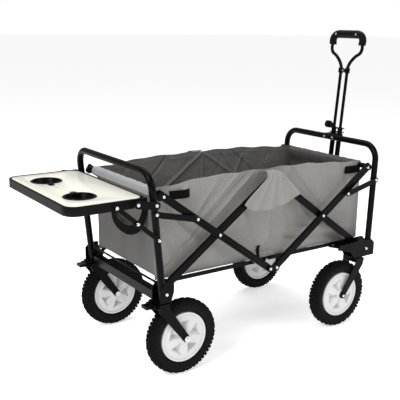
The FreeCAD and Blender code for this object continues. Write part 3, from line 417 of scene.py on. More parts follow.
def round_edges(name, width):
    """A live weld and bevel, so that the node's own mesh stays as it was packed."""
    target = NODES[name]
    target.modifiers.new("weld", "WELD").merge_threshold = 0.01 * MM
    edge = target.modifiers.new("bevel", "BEVEL")
    edge.width = width * MM
    edge.segments = 2
    edge.limit_method = "ANGLE"
    edge.angle_limit = math.radians(50)


repaint(GLOSS_BLACK, *COATED)
repaint(BRIGHT_STEEL, *STEEL)
repaint(DULL_BLACK, *MOULDED)
for edged, edge_width in ROUND_EDGES.items():
    round_edges(edged, edge_width)
print("coated", len(COATED), "nodes")

# %% [markdown]
# Tyres. The real tyre is a round-shouldered ring with chunky blocks in staggered rows. It could
# be lathed from a profile with the blocks as an array along a curve, but spinning one section
# gives an even grid, and picking every other face of it makes the staggered tread at once.

# %% One tyre
TYRE_LOW, TYRE_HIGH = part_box("tyre_rear_right")
HUB_LOW, HUB_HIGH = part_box("hub_rear_right")
WHEEL_RADIUS = (TYRE_HIGH.z - TYRE_LOW.z) / 2
TYRE_HALF = (TYRE_HIGH.y - TYRE_LOW.y) / 2
RIM_RADIUS = (HUB_HIGH.z - HUB_LOW.z) / 2
BLOCK_DEPTH = 4.5 * MM
TREAD_STEPS = 54
SECTION_STEPS = 22
CARCASS = WHEEL_RADIUS - BLOCK_DEPTH - RIM_RADIUS
CARCASS_MIDDLE = RIM_RADIUS + CARCASS / 2


def squarer(value):
    """Pushes a unit circle's coordinate out towards a square with round corners."""
    return math.copysign(abs(value) ** 0.72, value)


def tread_place(centre):
    """(step around the tyre, row across it, angle from straight out) of a face."""
    step = int((math.atan2(centre.z, centre.x) % math.tau) / math.tau * TREAD_STEPS)
    out = (math.hypot(centre.x, centre.z) - CARCASS_MIDDLE) / (CARCASS / 2)
    angle = math.degrees(math.atan2(centre.y / TYRE_HALF, out))
    return step, round(angle / (360 / SECTION_STEPS)), angle


def is_block(face):
    step, row, angle = tread_place(face.calc_center_median())
    return abs(angle) < 82 and (step + row) % 2 == 0


def make_tyre():
    """A tyre about the Y axis at the origin."""
    deselect()
    bpy.ops.mesh.primitive_circle_add(vertices=SECTION_STEPS, radius=1)
    tyre = fresh("tyre_pattern")
    for point in tyre.data.vertices:
        out, y = squarer(point.co.x) * CARCASS / 2, squarer(point.co.y) * (TYRE_HALF - MM)
        point.co = (CARCASS_MIDDLE + out, y, 0)
    pick(tyre, lambda point: True, "VERT")
    bpy.ops.mesh.spin(steps=TREAD_STEPS, angle=math.tau, center=(0, 0, 0), axis=(0, 1, 0))
    leave_edit()
    outward(tyre)
    pick(tyre, is_block)
    bpy.ops.mesh.inset(thickness=0.8 * MM, use_individual=True)
    bpy.ops.mesh.inset(thickness=0.9 * MM, depth=BLOCK_DEPTH, use_individual=True)
    leave_edit()
    for point in tyre.data.vertices:
        point.co.y = max(-TYRE_HALF, min(TYRE_HALF, point.co.y))
    return smooth(tyre, 28)


# %% [markdown]
# Hubs. Each is one white moulding: a raised lip, a shallow dish and five petals parted by
# three-sided pits. The pits could be pushed in face by face, but cutting them with five-fold
# pyramids keeps the petals' surface clean, and a bevel then softens every rim.

# %% One hub
PIT_NEAR, PIT_FAR, PIT_HALF, PIT_DEPTH = 21 * MM, 60 * MM, 20 * MM, 17 * MM
HUB_HALF = 16 * MM
# The (width, rise) in mm of each ring from the rim to the centre: lip, dish, petals and boss.
HUB_RINGS = ((4.5, 0), (1.5, -3), (4, 1), (10, 1.6), (12, 1.2), (12, 0.6), (4, 0.2), (3, 0.8), (1, 5))


def make_pits(face):
    """Five pyramids that cut one face (+1 or -1) of the hub."""
    pits = []
    for turn in range(5):
        deselect()
        bpy.ops.mesh.primitive_cone_add(vertices=3, radius1=1, radius2=0, depth=1)
        pit = fresh("pit")
        for point in pit.data.vertices:
            spread = (point.co.x / 0.866 * PIT_HALF, 0, (PIT_FAR + PIT_NEAR * 2) / 3)
            along = spread[2] - point.co.y * (PIT_FAR - PIT_NEAR) / 1.5
            level = HUB_HALF + 3 * MM if point.co.z < 0 else HUB_HALF - PIT_DEPTH
            point.co = (spread[0], face * level, along + (6 * MM if point.co.z > 0 else 0))
        pit.data.transform(Matrix.Rotation(math.tau * turn / 5, 4, "Y"))
        pits.append(outward(pit))
    return pits


def make_hub():
    deselect()
    bpy.ops.mesh.primitive_cylinder_add(vertices=80, radius=RIM_RADIUS, depth=2 * HUB_HALF,
                                        rotation=(math.radians(90), 0, 0))
    hub = settle(fresh("hub_pattern"))
    for face in (-1, 1):
        pick(hub, lambda found: found.normal.y * face > 0.9)
        for width, rise in HUB_RINGS:
            bpy.ops.mesh.inset(thickness=width * MM, depth=rise * MM)
        leave_edit()
    cutter = join("pits", make_pits(-1) + make_pits(1))
    modify(hub, "BOOLEAN", operation="DIFFERENCE", object=cutter, solver="EXACT")
    drop(cutter)
    outward(hub)
    modify(hub, "BEVEL", width=0.9 * MM, segments=2, limit_method="ANGLE", angle_limit=math.radians(32))
    return smooth(hub, 40)


# %% Four wheels
WHEELS = {"rear_right": "rear_spin_right", "rear_left": "rear_spin_left",
          "front_right": "front_spin_right", "front_left": "front_spin_left"}
tyre_pattern = make_tyre()
hub_pattern = make_hub()
for order, (corner, spin) in enumerate(WHEELS.items()):
    spot = Matrix.Translation(PIVOT[spin]) @ Matrix.Rotation(math.radians(23 * order), 4, "Y")
    tyre = copy_of(tyre_pattern, "tread_tyre_" + corner, spot)
    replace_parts(finished(tyre, "wheel_" + corner, "tyre_rubber", RUBBER), "tyre_" + corner)
    hub = copy_of(hub_pattern, "petal_hub_" + corner, spot)
    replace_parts(finished(hub, "wheel_" + corner, "white_hub", WHITE_HUB_PLASTIC), "hub_" + corner)
print("tyre faces", len(tyre_pattern.data.polygons), "hub faces", len(hub_pattern.data.polygons))
drop(tyre_pattern)
drop(hub_pattern)

# %% [markdown]
# Rivets. Every pivot ends in a bright domed head. One dome is cut from a sphere, then copied to
# each pivot that the frame names and to the fixed points of the links, braces and table. Heads
# that move together are joined into one piece that rides with their body.

# %% Rivet heads
RIVET_RADIUS = 4.8 * MM
LINK_END = Vector((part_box("rear_links")[1].x - 8 * MM, 0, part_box("rear_links")[0].z + 8 * MM))
FRONT_LINK_END = Vector((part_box("front_links")[0].x + 8 * MM, 0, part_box("front_links")[0].z + 8 * MM))
BRACKET_END = Vector((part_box("table_brackets")[1].x - 10 * MM, 0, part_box("table_brackets")[0].z + 10 * MM))
KNEE = Vector((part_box("braces_lower")[0].x + 6 * MM, 0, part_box("braces_lower")[1].z - 6 * MM))
BAR_TOP_REAR = Vector((PIVOT["fold"].x, 0, PIVOT["top_middle"].z))
BAR_TOP_FRONT = Vector((PIVOT["front_foot"].x, 0, PIVOT["top_middle"].z))
BOTTOM_FRONT = Vector((PIVOT["bars_d_top"].x, 0, PIVOT["bottom_middle"].z))
SIDE_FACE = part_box("rear_links")[1].y
BAR_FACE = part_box("bars_a")[1].y
BRACKET_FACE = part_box("table_brackets")[1].y
PLATE_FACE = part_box("bottom_middle_plates")[1].y
AXLE_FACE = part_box("rear_axles")[1].y


def make_rivet():
    """A domed head on the XY plane, pointing up."""
    deselect()
    bpy.ops.mesh.primitive_uv_sphere_add(segments=20, ring_count=12, radius=RIVET_RADIUS)
    rivet = fresh("rivet_pattern")
    pick(rivet, lambda face: True)
    bpy.ops.mesh.bisect(plane_co=(0, 0, 0), plane_no=(0, 0, 1), clear_inner=True, use_fill=True)
    leave_edit()
    rivet.scale = (1, 1, 0.55)
    settle(rivet)
    pick(rivet, lambda face: face.normal.z < -0.9)
    bpy.ops.mesh.inset(thickness=-1.0 * MM)
    leave_edit()
    return smooth(outward(rivet), 40)


RIVETS = {
    "rear_frame": [(PIVOT["rear_link"], SIDE_FACE), (PIVOT["brace_lower_fold"], SIDE_FACE),
                   (BRACKET_END, BRACKET_FACE), (PIVOT["fold"], SIDE_FACE),
                   (PIVOT["rear_spin_right"], AXLE_FACE)],
    "front_frame": [(PIVOT["front_link"], SIDE_FACE), (PIVOT["front_foot"], SIDE_FACE)],
    "bars_a": [(BAR_TOP_REAR, BAR_FACE), (PIVOT["bars_a_cross"], BAR_FACE)],
    "bars_e": [(BAR_TOP_FRONT, BAR_FACE), (PIVOT["bars_e_cross"], BAR_FACE)],
    "rear_links": [(LINK_END, SIDE_FACE)],
    "front_links": [(FRONT_LINK_END, SIDE_FACE)],
    "bottom_plates": [(PIVOT["bottom_middle"], PLATE_FACE), (BOTTOM_FRONT, PLATE_FACE)],
    "table": [(PIVOT["table_fold"], BRACKET_FACE), (PIVOT["brace_upper_fold"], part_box("braces_upper")[1].y)],
    "braces_lower": [(KNEE, SIDE_FACE)],
}
rivet_pattern = make_rivet()
for body, heads in RIVETS.items():
    placed = []
    for place, face in heads:
        for side in (-1, 1):
            placed.append(copy_of(rivet_pattern, "rivet", across(place.x, side, face, place.z)))
    finished(join("rivet_heads_" + body, placed), body, "rivet_steel", BRIGHT_STEEL)
for side, name in ((-1, "right"), (1, "left")):
    axle = PIVOT["front_spin_" + name]
    head = copy_of(rivet_pattern, "axle_head_" + name, across(axle.x, side, AXLE_FACE, axle.z))
    finished(head, "caster_" + name, "rivet_steel", BRIGHT_STEEL)
print("rivet groups", len(RIVETS))
drop(rivet_pattern)

# %% [markdown]
# Cloth. The real tub is sewn from flat panels that the frame pulls tight in some places and
# leaves slack in others. A cloth simulation could find the folds, but it would need every
# stitch and pin to be right. Here each panel is a fine grid laid out by a rule: straight
# creases and soft folds are named lines, and every fold is a ridge across its line.

# %% Cloth tools
SHEET_THICK = 1.2 * MM


def panel(name, across, down, width, length, place):
    """A grid of cloth. place(u, v) says where a point goes; the UV map is laid out in metres."""
    deselect()
    bpy.ops.mesh.primitive_grid_add(x_subdivisions=across, y_subdivisions=down, size=1)
    piece = fresh(name)
    for point in piece.data.vertices:
        point.co = place(point.co.x + 0.5, point.co.y + 0.5)
    for corner in piece.data.uv_layers["UVMap"].data:
        corner.uv = (corner.uv[0] * width, corner.uv[1] * length)
    return piece


def cloth(piece, body, slot, outside, inside, thick=SHEET_THICK, flipped=False):
    """Finishes a panel and gives it two faces with a cut edge."""
    if flipped:
        piece.data.flip_normals()
    finished(piece, body, slot, outside, inside)
    modify(piece, "SOLIDIFY", thickness=thick, offset=0.0, material_offset=1, material_offset_rim=0)
    return smooth(piece, 60)


def between(low, high, share):
    return low + (high - low) * share


def eased(share):
    """0 to 1 with a soft start and stop."""
    share = max(0.0, min(1.0, share))
    return share * share * (3 - 2 * share)


def ridge(x, z, line, width, height, sharp=False):
    """How far a fold along a line lifts the cloth at a point. Folds fade near both ends of a line."""
    start, end = Vector(line[:2]), Vector(line[2:])
    along = end - start
    share = (Vector((x, z)) - start).dot(along) / along.length_squared
    if not -0.15 < share < 1.15:
        return 0.0
    spot = start + along * max(0.0, min(1.0, share))
    away = (Vector((x, z)) - spot).length / (width * (0.6 + 0.8 * max(0.0, min(1.0, share))))
    shape = max(0.0, 1 - away) if sharp else math.exp(-away * away)
    return height * shape * eased((1.15 - share) / 0.4) * eased((share + 0.15) / 0.2)


print("cloth tools ready")

# %% [markdown]
# The sides. Each hangs outside the floor and inside the bars, and ends in a stitched hem. Pulls
# fan out from the lap in the middle, where the bars' tops lift the cloth; the front half has one
# pressed crease from packing. A wave or two low at the front is slack.

# %% Side panels
SIDE_LOW, SIDE_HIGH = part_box("tub_side_right")
SIDE_REAR, SIDE_FRONT = SIDE_LOW.x - 15 * MM, SIDE_HIGH.x + 21 * MM
SIDE_FOOT = SIDE_LOW.z - 5 * MM
MIDDLE = (PIVOT["fold"].x + PIVOT["front_foot"].x) / 2
RIM_ENDS, RIM_MIDDLE = 0.511, 0.525
SEAM = 0.052
STITCH = 0.0016
SIDE_BASE = 0.1620
RAIL_ROOM = min(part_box(name)[1].y for name in ("rear_rails", "front_rails")) - 5 * MM
# Each fold is a line (x, z to x, z), its width in metres and its height in mm.
PULLS = [((-0.090, 0.522, -0.172, 0.405), 0.006, 4.5), ((-0.060, 0.524, -0.160, 0.418), 0.004, -3.0),
         ((-0.020, 0.524, -0.158, 0.398), 0.006, 5.0), ((0.012, 0.524, -0.130, 0.402), 0.004, -4.0),
         ((0.030, 0.520, -0.110, 0.398), 0.006, 4.5), ((-0.110, 0.400, -0.250, 0.300), 0.006, 4.5),
         ((-0.150, 0.385, -0.262, 0.286), 0.005, -4.0), ((-0.080, 0.385, -0.240, 0.272), 0.007, 4.0)]
SOFT_FOLDS = [
    ((-0.010, 0.430, 0.020, 0.330), 0.012, 4.5),
    ((-0.190, 0.505, -0.255, 0.420), 0.010, 3.5), ((-0.020, 0.395, -0.135, 0.288), 0.013, 3.5),
    ((0.100, 0.430, 0.078, 0.300), 0.012, 4.5), ((0.140, 0.440, 0.150, 0.330), 0.012, 3.5),
    ((0.160, 0.520, 0.130, 0.450), 0.009, 3.5),
    ((0.190, 0.335, 0.420, 0.300), 0.010, 6.5), ((0.160, 0.310, 0.400, 0.279), 0.009, -5.5),
    ((0.300, 0.400, 0.430, 0.335), 0.009, 5.0), ((0.210, 0.395, 0.290, 0.310), 0.010, 4.0),
    ((-0.260, 0.450, -0.150, 0.330), 0.010, 4.0), ((-0.265, 0.390, -0.215, 0.300), 0.009, -4.0),
    ((0.380, 0.505, 0.420, 0.420), 0.010, -3.0),
    ((0.056, 0.300, 0.000, 0.340), 0.006, 3.5), ((0.056, 0.296, 0.105, 0.338), 0.006, 3.5),
    ((0.052, 0.286, 0.010, 0.275), 0.006, -3.0), ((0.060, 0.284, 0.112, 0.276), 0.006, -3.0)]
PRESSED = [((0.160, 0.520, 0.285, 0.385), 0.008, 4.5), ((0.172, 0.520, 0.297, 0.385), 0.006, -4.0)]
FAR_PRESSED = [((0.075, 0.520, -0.262, 0.280), 0.008, 5.5), ((0.080, 0.520, 0.425, 0.280), 0.008, 5.5),
               ((0.078, 0.515, 0.078, 0.280), 0.006, 4.5), ((-0.060, 0.515, -0.270, 0.300), 0.007, -4.5),
               ((0.200, 0.512, 0.430, 0.310), 0.007, -4.5), ((0.150, 0.520, 0.230, 0.420), 0.008, 4.0),
               ((0.240, 0.500, 0.150, 0.330), 0.008, 3.5)]


def rim_height(x):
    rise = eased((x - SIDE_REAR) / 0.19) * eased((SIDE_FRONT - x) / 0.27)
    return between(RIM_ENDS, RIM_MIDDLE, rise) + 1.5 * MM * math.sin(x * 61)


def stitched(away):
    """How deep a line of stitches pulls the cloth in, 1 on the line."""
    return math.exp(-(away / STITCH) ** 2)


def side_out(x, z, side):
    """|Y| of a side panel at a place on it."""
    level = (z - SIDE_FOOT) / (rim_height(x) - SIDE_FOOT)
    ends = eased((x - SIDE_REAR) / 0.03) * eased((SIDE_FRONT - x) / 0.03)
    belly = -4.5 * MM * math.sin(math.pi * max(0.0, min(1.0, level))) ** 0.8
    folds = 1.35 * sum(ridge(x, z, line, width, height * MM) for line, width, height in SOFT_FOLDS)
    creases = PRESSED + PULLS if side < 0 else FAR_PRESSED
    if side > 0:
        folds *= 0.3
    folds -= side * sum(ridge(x, z, line, width, height * MM, True) for line, width, height in creases)
    seams = -0.8 * MM * (stitched(x - SEAM) + stitched(x - SEAM - 0.008))
    seams -= 0.9 * MM * (stitched(z - SIDE_FOOT - 0.016) + stitched(z - rim_height(x) + 0.014))
    broad, fine = noise.noise((x * 17, z * 17, side * 3.0)), noise.noise((x * 60, z * 60, side * 5.0))
    crumple = 2.6 * MM * (broad + 0.4 * fine)
    return min(RAIL_ROOM, SIDE_BASE - 1 * MM * (1 - ends) + ends * (belly + folds + crumple) + seams)


def make_side(side, name):
    def place(u, v):
        x = between(SIDE_REAR, SIDE_FRONT, u)
        z = between(SIDE_FOOT, rim_height(x), v)
        return Vector((x, side * side_out(x, z, side), z))
    width, length = SIDE_FRONT - SIDE_REAR, RIM_MIDDLE - SIDE_FOOT
    sheet = panel("side_cloth_" + name, 260, 92, width, length, place)
    # The inner face gets the darker grey, painted shade inside the tub.
    cloth(sheet, "tub", "grey_cloth", GREY_CLOTH, SHADE_PAINTED_GREY, flipped=side > 0)
    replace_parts(sheet, "tub_side_" + name)
    return sheet


FOLDING = []
for side, name in ((-1, "right"), (1, "left")):
    FOLDING.append(make_side(side, name))
print("side panels", [round(value, 3) for value in (SIDE_REAR, SIDE_FRONT, SIDE_FOOT)])

# %% [markdown]
# The laps. A pointed cloth lap comes out over the bars' tops on each side and hides the middle
# joint. It starts flat on the rim, turns down over the bars and spreads into loose pleats.

# %% Laps over the bars
LAP_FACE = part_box("tub_flaps")[1].y
LAP_APEX = (0.064, 0.088)
LAP_FOOT = ((-0.038, 0.444), (0.042, 0.418), (0.168, 0.450))
LAP_RIM = 0.5225


def lap_foot(u):
    """The lower edge: a curve through the left corner, the middle and the right corner."""
    first, middle, last = (Vector(spot) for spot in LAP_FOOT)
    handle = middle * 2 - (first + last) / 2
    return first * (1 - u) ** 2 + handle * 2 * u * (1 - u) + last * u * u


def lap_place(side):
    def place(u, v):
        foot = lap_foot(u)
        x = between(between(LAP_APEX[0], LAP_APEX[1], u), foot.x, eased(v) * 0.35 + v * 0.65)
        over = eased(v / 0.28)
        down = max(0.0, (v - 0.16) / 0.84)
        z = between(LAP_RIM - 1.5 * MM * v, foot.y, down ** 0.92)
        pleat = math.sin(u * 24 + 0.8) * 3.0 * MM * v + math.sin(u * 41 + 2) * 1.0 * MM * v
        out = between(0.176, LAP_FACE - 4 * MM, over) + pleat * over
        return Vector((x, side * min(out, LAP_FACE + 0.5 * MM), z + 0.6 * MM * math.sin(u * 24)))
    return place


for side, name in ((-1, "right"), (1, "left")):
    lap = panel("lap_cloth_" + name, 84, 60, 0.21, 0.125, lap_place(side))
    cloth(lap, "tub", "grey_cloth", LAP_CLOTH, GREY_CLOTH, flipped=side > 0)
    FOLDING.append(lap)
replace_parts(lap, "tub_flaps")
print("laps", round(LAP_FACE, 3))

# %% [markdown]
# The ends and the hems. An end panel hangs from a sleeve that is rolled round the upper tube.
# The sleeve is a grid wrapped round the tube's axis with soft rings where it is gathered; the
# panel below it has the upright folds of cloth that is a little too wide for its frame.

# %% End panels, hems and floor
def end_axis(end):
    low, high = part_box("tub_hem_" + end)
    return Vector(((low.x + high.x) / 2, 0, (low.z + high.z) / 2)), (high.x - low.x) / 2


def make_hem(end, body, slot, material):
    axis, radius = end_axis(end)
    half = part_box("tub_hem_" + end)[1].y

    def place(u, v):
        y = between(-half, half, u)
        turn = math.tau * v
        gather = 0.7 * MM * noise.noise((y * 45, math.cos(turn) * 1.5, math.sin(turn) * 1.5))
        gather += 0.35 * MM * math.sin(y * 210 + 2.2 * math.sin(turn))
        pinch = 1.2 * MM * (1 - eased((half - abs(y)) / 0.012))
        reach = radius - 0.9 * MM + gather - pinch
        return Vector((axis.x + reach * math.cos(turn), y, axis.z + reach * math.sin(turn)))
    hem = panel("hem_roll_" + end, 160, 48, 2 * half, math.tau * radius, place)
    outward(hem)
    cloth(hem, body, slot, material, material, thick=1.0 * MM)
    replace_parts(hem, "tub_hem_" + end)
    return hem


def make_end(end, toward, slot, colour):
    """toward is +1 where the tub lies towards +X of the panel."""
    low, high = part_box("tub_end_" + end)
    axis, radius = end_axis(end)
    face = SIDE_REAR + 1 * MM if toward > 0 else SIDE_FRONT - 1 * MM
    half = high.y + 0.5 * MM
    top = axis.z - radius * 0.2

    def place(u, v):
        y = between(-half, half, u)
        z = between(low.z, top, v)
        lean = eased((v - 0.8) / 0.2) * (axis.x + toward * (radius - 1 * MM) - face)
        slack = math.sin(math.pi * v)
        wave = 3.4 * MM * math.sin(y * 62 + 1.1 + 2 * v) + 2.4 * MM * math.sin(y * 131 + 5 * v)
        wave += 2.5 * MM * noise.noise((y * 11, z * 9, 4.0 * toward))
        return Vector((face + lean + toward * (2.5 * MM + wave) * slack * (0.5 + 0.5 * v), y, z))
    sheet = panel("end_cloth_" + end, 150, 90, 2 * half, top - low.z, place)
    # The panel's second face gets the darker grey of painted shade.
    cloth(sheet, "tub", slot, colour, SHADE_PAINTED_GREY, flipped=toward < 0)
    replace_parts(sheet, "tub_end_" + end)
    return sheet


make_hem("rear", "bars_a", "grey_cloth", HEM_CLOTH)
# The front roll and the front panel get the darkest cloth, painted shade at the tub's far end.
make_hem("front", "bars_e", "dark_cloth", DEEP_SHADE_CLOTH)
FOLDING.append(make_end("rear", 1, "grey_cloth", END_CLOTH))
FOLDING.append(make_end("front", -1, "dark_cloth", DEEP_SHADE_CLOTH))


def make_floor_pad():
    low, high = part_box("tub_floor")

    def place(u, v):
        x, y = between(low.x + 4 * MM, high.x - 4 * MM, u), between(low.y + 3 * MM, high.y - 3 * MM, v)
        tuft = abs(math.sin((x + y) * 42)) ** 0.5 * abs(math.sin((x - y) * 42)) ** 0.5
        hinge = min(1.0, abs(x - MIDDLE) / 0.006)
        return Vector((x, y, low.z + 1.6 * MM + 2.2 * MM * tuft * hinge))
    width, length = high.x - low.x - 8 * MM, high.y - low.y - 6 * MM
    pad = panel("floor_pad", 200, 96, width, length, place)
    # The floor pad gets the darkest cloth, painted shade inside the tub.
    cloth(pad, "tub", "dark_cloth", DEEP_SHADE_CLOTH, DEEP_SHADE_CLOTH, thick=1.6 * MM)
    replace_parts(pad, "tub_floor")
    return pad


FOLDING.append(make_floor_pad())
print("ends, hems and floor done")

# %% [markdown]
# Webbing. The carry strap, the four tabs that hold the rim to the bars and the little tie under
# each lap are flat tape. Tape could be a curve with a profile, but a narrow panel laid along a
# smoothed line keeps its weave running lengthwise.

# %% Webbing
def tape_line(knots, share):
    """A point on a smooth line through the knots."""
    spot = share * (len(knots) - 1)
    index = min(int(spot), len(knots) - 2)
    before, first = Vector(knots[max(index - 1, 0)]), Vector(knots[index])
    second, after = Vector(knots[index + 1]), Vector(knots[min(index + 2, len(knots) - 1)])
    t = spot - index
    return 0.5 * (2 * first + (second - before) * t + (2 * before - 5 * first + 4 * second - after) * t * t
                  + (3 * first - before - 3 * second + after) * t ** 3)


def make_tape(name, knots, facing, half_width, steps=60):
    """Tape along a line, with its flat side turned to the facing direction."""
    length = sum((Vector(b) - Vector(a)).length for a, b in zip(knots, knots[1:]))

    def place(u, v):
        along = tape_line(knots, min(1.0, u + 0.01)) - tape_line(knots, max(0.0, u - 0.01))
        return tape_line(knots, u) + along.cross(Vector(facing)).normalized() * half_width * (2 * v - 1)
    tape = panel(name, steps, 6, length, 2 * half_width, place)
    cloth(tape, "tub", "black_webbing", WEBBING, WEBBING, thick=1.6 * MM)
    FOLDING.append(tape)
    return tape


STRAP_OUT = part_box("carry_strap")[0].x
STRAP_KNOTS = ((0.018, 0.062, 0.455), (0.006, 0.052, 0.402), (0.002, 0.020, 0.377), (0.002, -0.045, 0.373),
               (0.006, -0.098, 0.400), (0.018, -0.110, 0.455))
TAB_LEVEL = 0.486


def on_side(x, z, side):
    """A place for tape, just clear of a side panel."""
    return x, side * (side_out(x, z, side) + 0.0022), z


strap_line = [(STRAP_OUT + out, y, z) for out, y, z in STRAP_KNOTS]
strap = make_tape("carry_strap_tape", strap_line, (1, 0, 0), 0.0125)
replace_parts(strap, "carry_strap")
for side, name in ((-1, "right"), (1, "left")):
    for end, (start, stop) in (("rear", (-0.246, -0.184)), ("front", (0.392, 0.452))):
        knots = [on_side(between(start, stop, share), TAB_LEVEL, side) for share in (0.0, 0.33, 0.67, 1.0)]
        make_tape("rim_tab_%s_%s" % (end, name), knots, (0, 1, 0), 0.0115, steps=16)
    tie = [on_side(0.054, z, side) for z in (0.302, 0.290, 0.278, 0.262)]
    make_tape("floor_tie_" + name, tie, (0, 1, 0), 0.005, steps=16)
for piece in FOLDING:
    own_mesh(piece)
print("webbing done,", len(FOLDING), "pieces fold with the tub")

# %% [markdown]
# The table board. Each cup hole has a notch beside it for a mug's handle. The slot could be
# pushed into the mesh's edge, but a boolean with one plain cutter cuts the board cleanly, and
# a small bevel after it softens every rim.

# %% Table board
BOARD_LOW, BOARD_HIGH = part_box("table_board")
CUP_LOW, CUP_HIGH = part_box("cup_holders")
CUP_RADIUS = (CUP_HIGH.x - CUP_LOW.x) / 2
CUP_X = (CUP_HIGH.x + CUP_LOW.x) / 2
CUP_Y = CUP_HIGH.y - CUP_RADIUS
BOARD_CORNER = 27 * MM


def rod(name, radius, depth, place, axis="Z", vertices=64):
    """A cylinder about one of the axes."""
    deselect()
    turn = {"X": (0, math.radians(90), 0), "Y": (math.radians(90), 0, 0), "Z": (0, 0, 0)}[axis]
    bpy.ops.mesh.primitive_cylinder_add(vertices=vertices, radius=radius, depth=depth, location=place,
                                        rotation=turn)
    return settle(fresh(name))


def box_piece(name, low, high):
    deselect()
    middle = (Vector(low) + Vector(high)) / 2
    bpy.ops.mesh.primitive_cube_add(size=1, location=middle)
    piece = fresh(name)
    piece.scale = Vector(high) - Vector(low)
    return settle(piece)


def rounded(piece, width, segments=2):
    """Rounds the sharp edges by a width in mm."""
    return modify(piece, "BEVEL", width=width * MM, segments=segments, limit_method="ANGLE",
                  angle_limit=math.radians(50))


def cut_away(piece, cutter):
    modify(piece, "BOOLEAN", operation="DIFFERENCE", object=cutter, solver="EXACT")
    drop(cutter)
    return piece


def make_board():
    board = box_piece("table_top_board", BOARD_LOW, BOARD_HIGH)
    pick(board, lambda edge: abs((edge.verts[0].co - edge.verts[1].co).z) > 2 * MM, "EDGE")
    bpy.ops.mesh.bevel(offset=BOARD_CORNER, segments=10, affect="EDGES")
    leave_edit()
    middle = (BOARD_LOW.z + BOARD_HIGH.z) / 2
    for side in (-1, 1):
        cut_away(board, rod("hole", CUP_RADIUS + 0.2 * MM, 30 * MM, (CUP_X, side * CUP_Y, middle)))
        notch = Vector((CUP_X - side * 6 * MM, side * (CUP_Y - CUP_RADIUS - 2 * MM), middle))
        cut_away(board, box_piece("notch", notch - Vector((9 * MM, 17 * MM, 15 * MM)),
                                  notch + Vector((9 * MM, 17 * MM, 15 * MM))))
    return smooth(rounded(board, 0.6), 35)


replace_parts(finished(make_board(), "table", "table_cream", CREAM_BOARD), "table_board")


def make_cup(side):
    """A cup with a flange that is rounded where it meets the board."""
    place = Vector((CUP_X, side * CUP_Y, (CUP_LOW.z + CUP_HIGH.z) / 2))
    cup = rod("cup", CUP_RADIUS, CUP_HIGH.z - CUP_LOW.z, place, vertices=72)
    pick(cup, lambda face: face.normal.z > 0.9)
    bpy.ops.mesh.inset(thickness=3.0 * MM, depth=1.5 * MM)
    bpy.ops.mesh.inset(thickness=2.6 * MM, depth=0)
    bpy.ops.mesh.inset(thickness=2 * MM, depth=-(CUP_HIGH.z - CUP_LOW.z) + 4 * MM)
    leave_edit()
    for point in cup.data.vertices:
        if point.co.z < place.z:
            spread = Vector((point.co.x - place.x, point.co.y - place.y)) * 0.93
            point.co.x, point.co.y = place.x + spread.x, place.y + spread.y
    return smooth(rounded(cup, 0.9), 35)


def make_notch_well(side):
    """The black pocket that shows in a notch."""
    middle = Vector((CUP_X - side * 6 * MM, side * (CUP_Y - CUP_RADIUS - 3 * MM), BOARD_HIGH.z - 5 * MM))
    reach = Vector((8.8 * MM, 15.8 * MM, 3.6 * MM))
    return box_piece("notch_well", middle - reach, middle + reach)


cups = finished(join("cup_wells", [make_cup(-1), make_cup(1), make_notch_well(-1), make_notch_well(1)]),
                "table", "black_plastic", GLOSS_BLACK)
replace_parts(cups, "cup_holders")

# %% [markdown]
# The handle's loop and grips. The loop is a round wire bent in two easy curves. A chain of
# cylinders would show its joints, so a curve with a round bevel is drawn through the bends and
# turned into a mesh. The grips are the same way round with a fatter bevel.

# %% Handle
ROD_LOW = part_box("handle_rods")[0]
GRIP_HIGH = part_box("handle_grips")[1]
CLAMP_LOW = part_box("handle_clamp")[0]
BUTTON_LOW, BUTTON_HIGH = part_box("clamp_button")
ROD_SPREAD = 14 * MM
LEAN = math.radians(5)
HANDLE_FOOT = PIVOT["handle_swing"]


def on_handle(y, length, out=0.0):
    """A place on the leaning handle: length up it from its pivot, out ahead of its middle plane."""
    return HANDLE_FOOT + Vector((math.sin(LEAN) * length + math.cos(LEAN) * out, y,
                                 math.cos(LEAN) * length - math.sin(LEAN) * out))


def lean(piece, y, length):
    """Moves a piece that was made upright at the origin to a place on the handle."""
    for point in piece.data.vertices:
        point.co = on_handle(y + point.co.y, length + point.co.z, point.co.x)
    return piece


def bent_rod(name, spots, radius, rounds=8):
    """A round rod through several places, with smooth bends."""
    line = bpy.data.curves.new(name, "CURVE")
    line.dimensions = "3D"
    line.bevel_depth = radius
    line.bevel_resolution = rounds
    line.use_fill_caps = True
    line.resolution_u = 14
    bend = line.splines.new("BEZIER")
    bend.bezier_points.add(len(spots) - 1)
    for point, spot in zip(bend.bezier_points, spots):
        point.co = spot
        point.handle_left_type = point.handle_right_type = "AUTO"
    holder = bpy.data.objects.new(name, line)
    bpy.context.scene.collection.objects.link(holder)
    hold(holder)
    bpy.ops.object.convert(target="MESH")
    return smooth(fresh(name), 40)


COLLAR = 0.526
LOOP_REACH = GRIP_HIGH.y - 12 * MM
TOP = (GRIP_HIGH.z - 14 * MM - HANDLE_FOOT.z) / math.cos(LEAN)


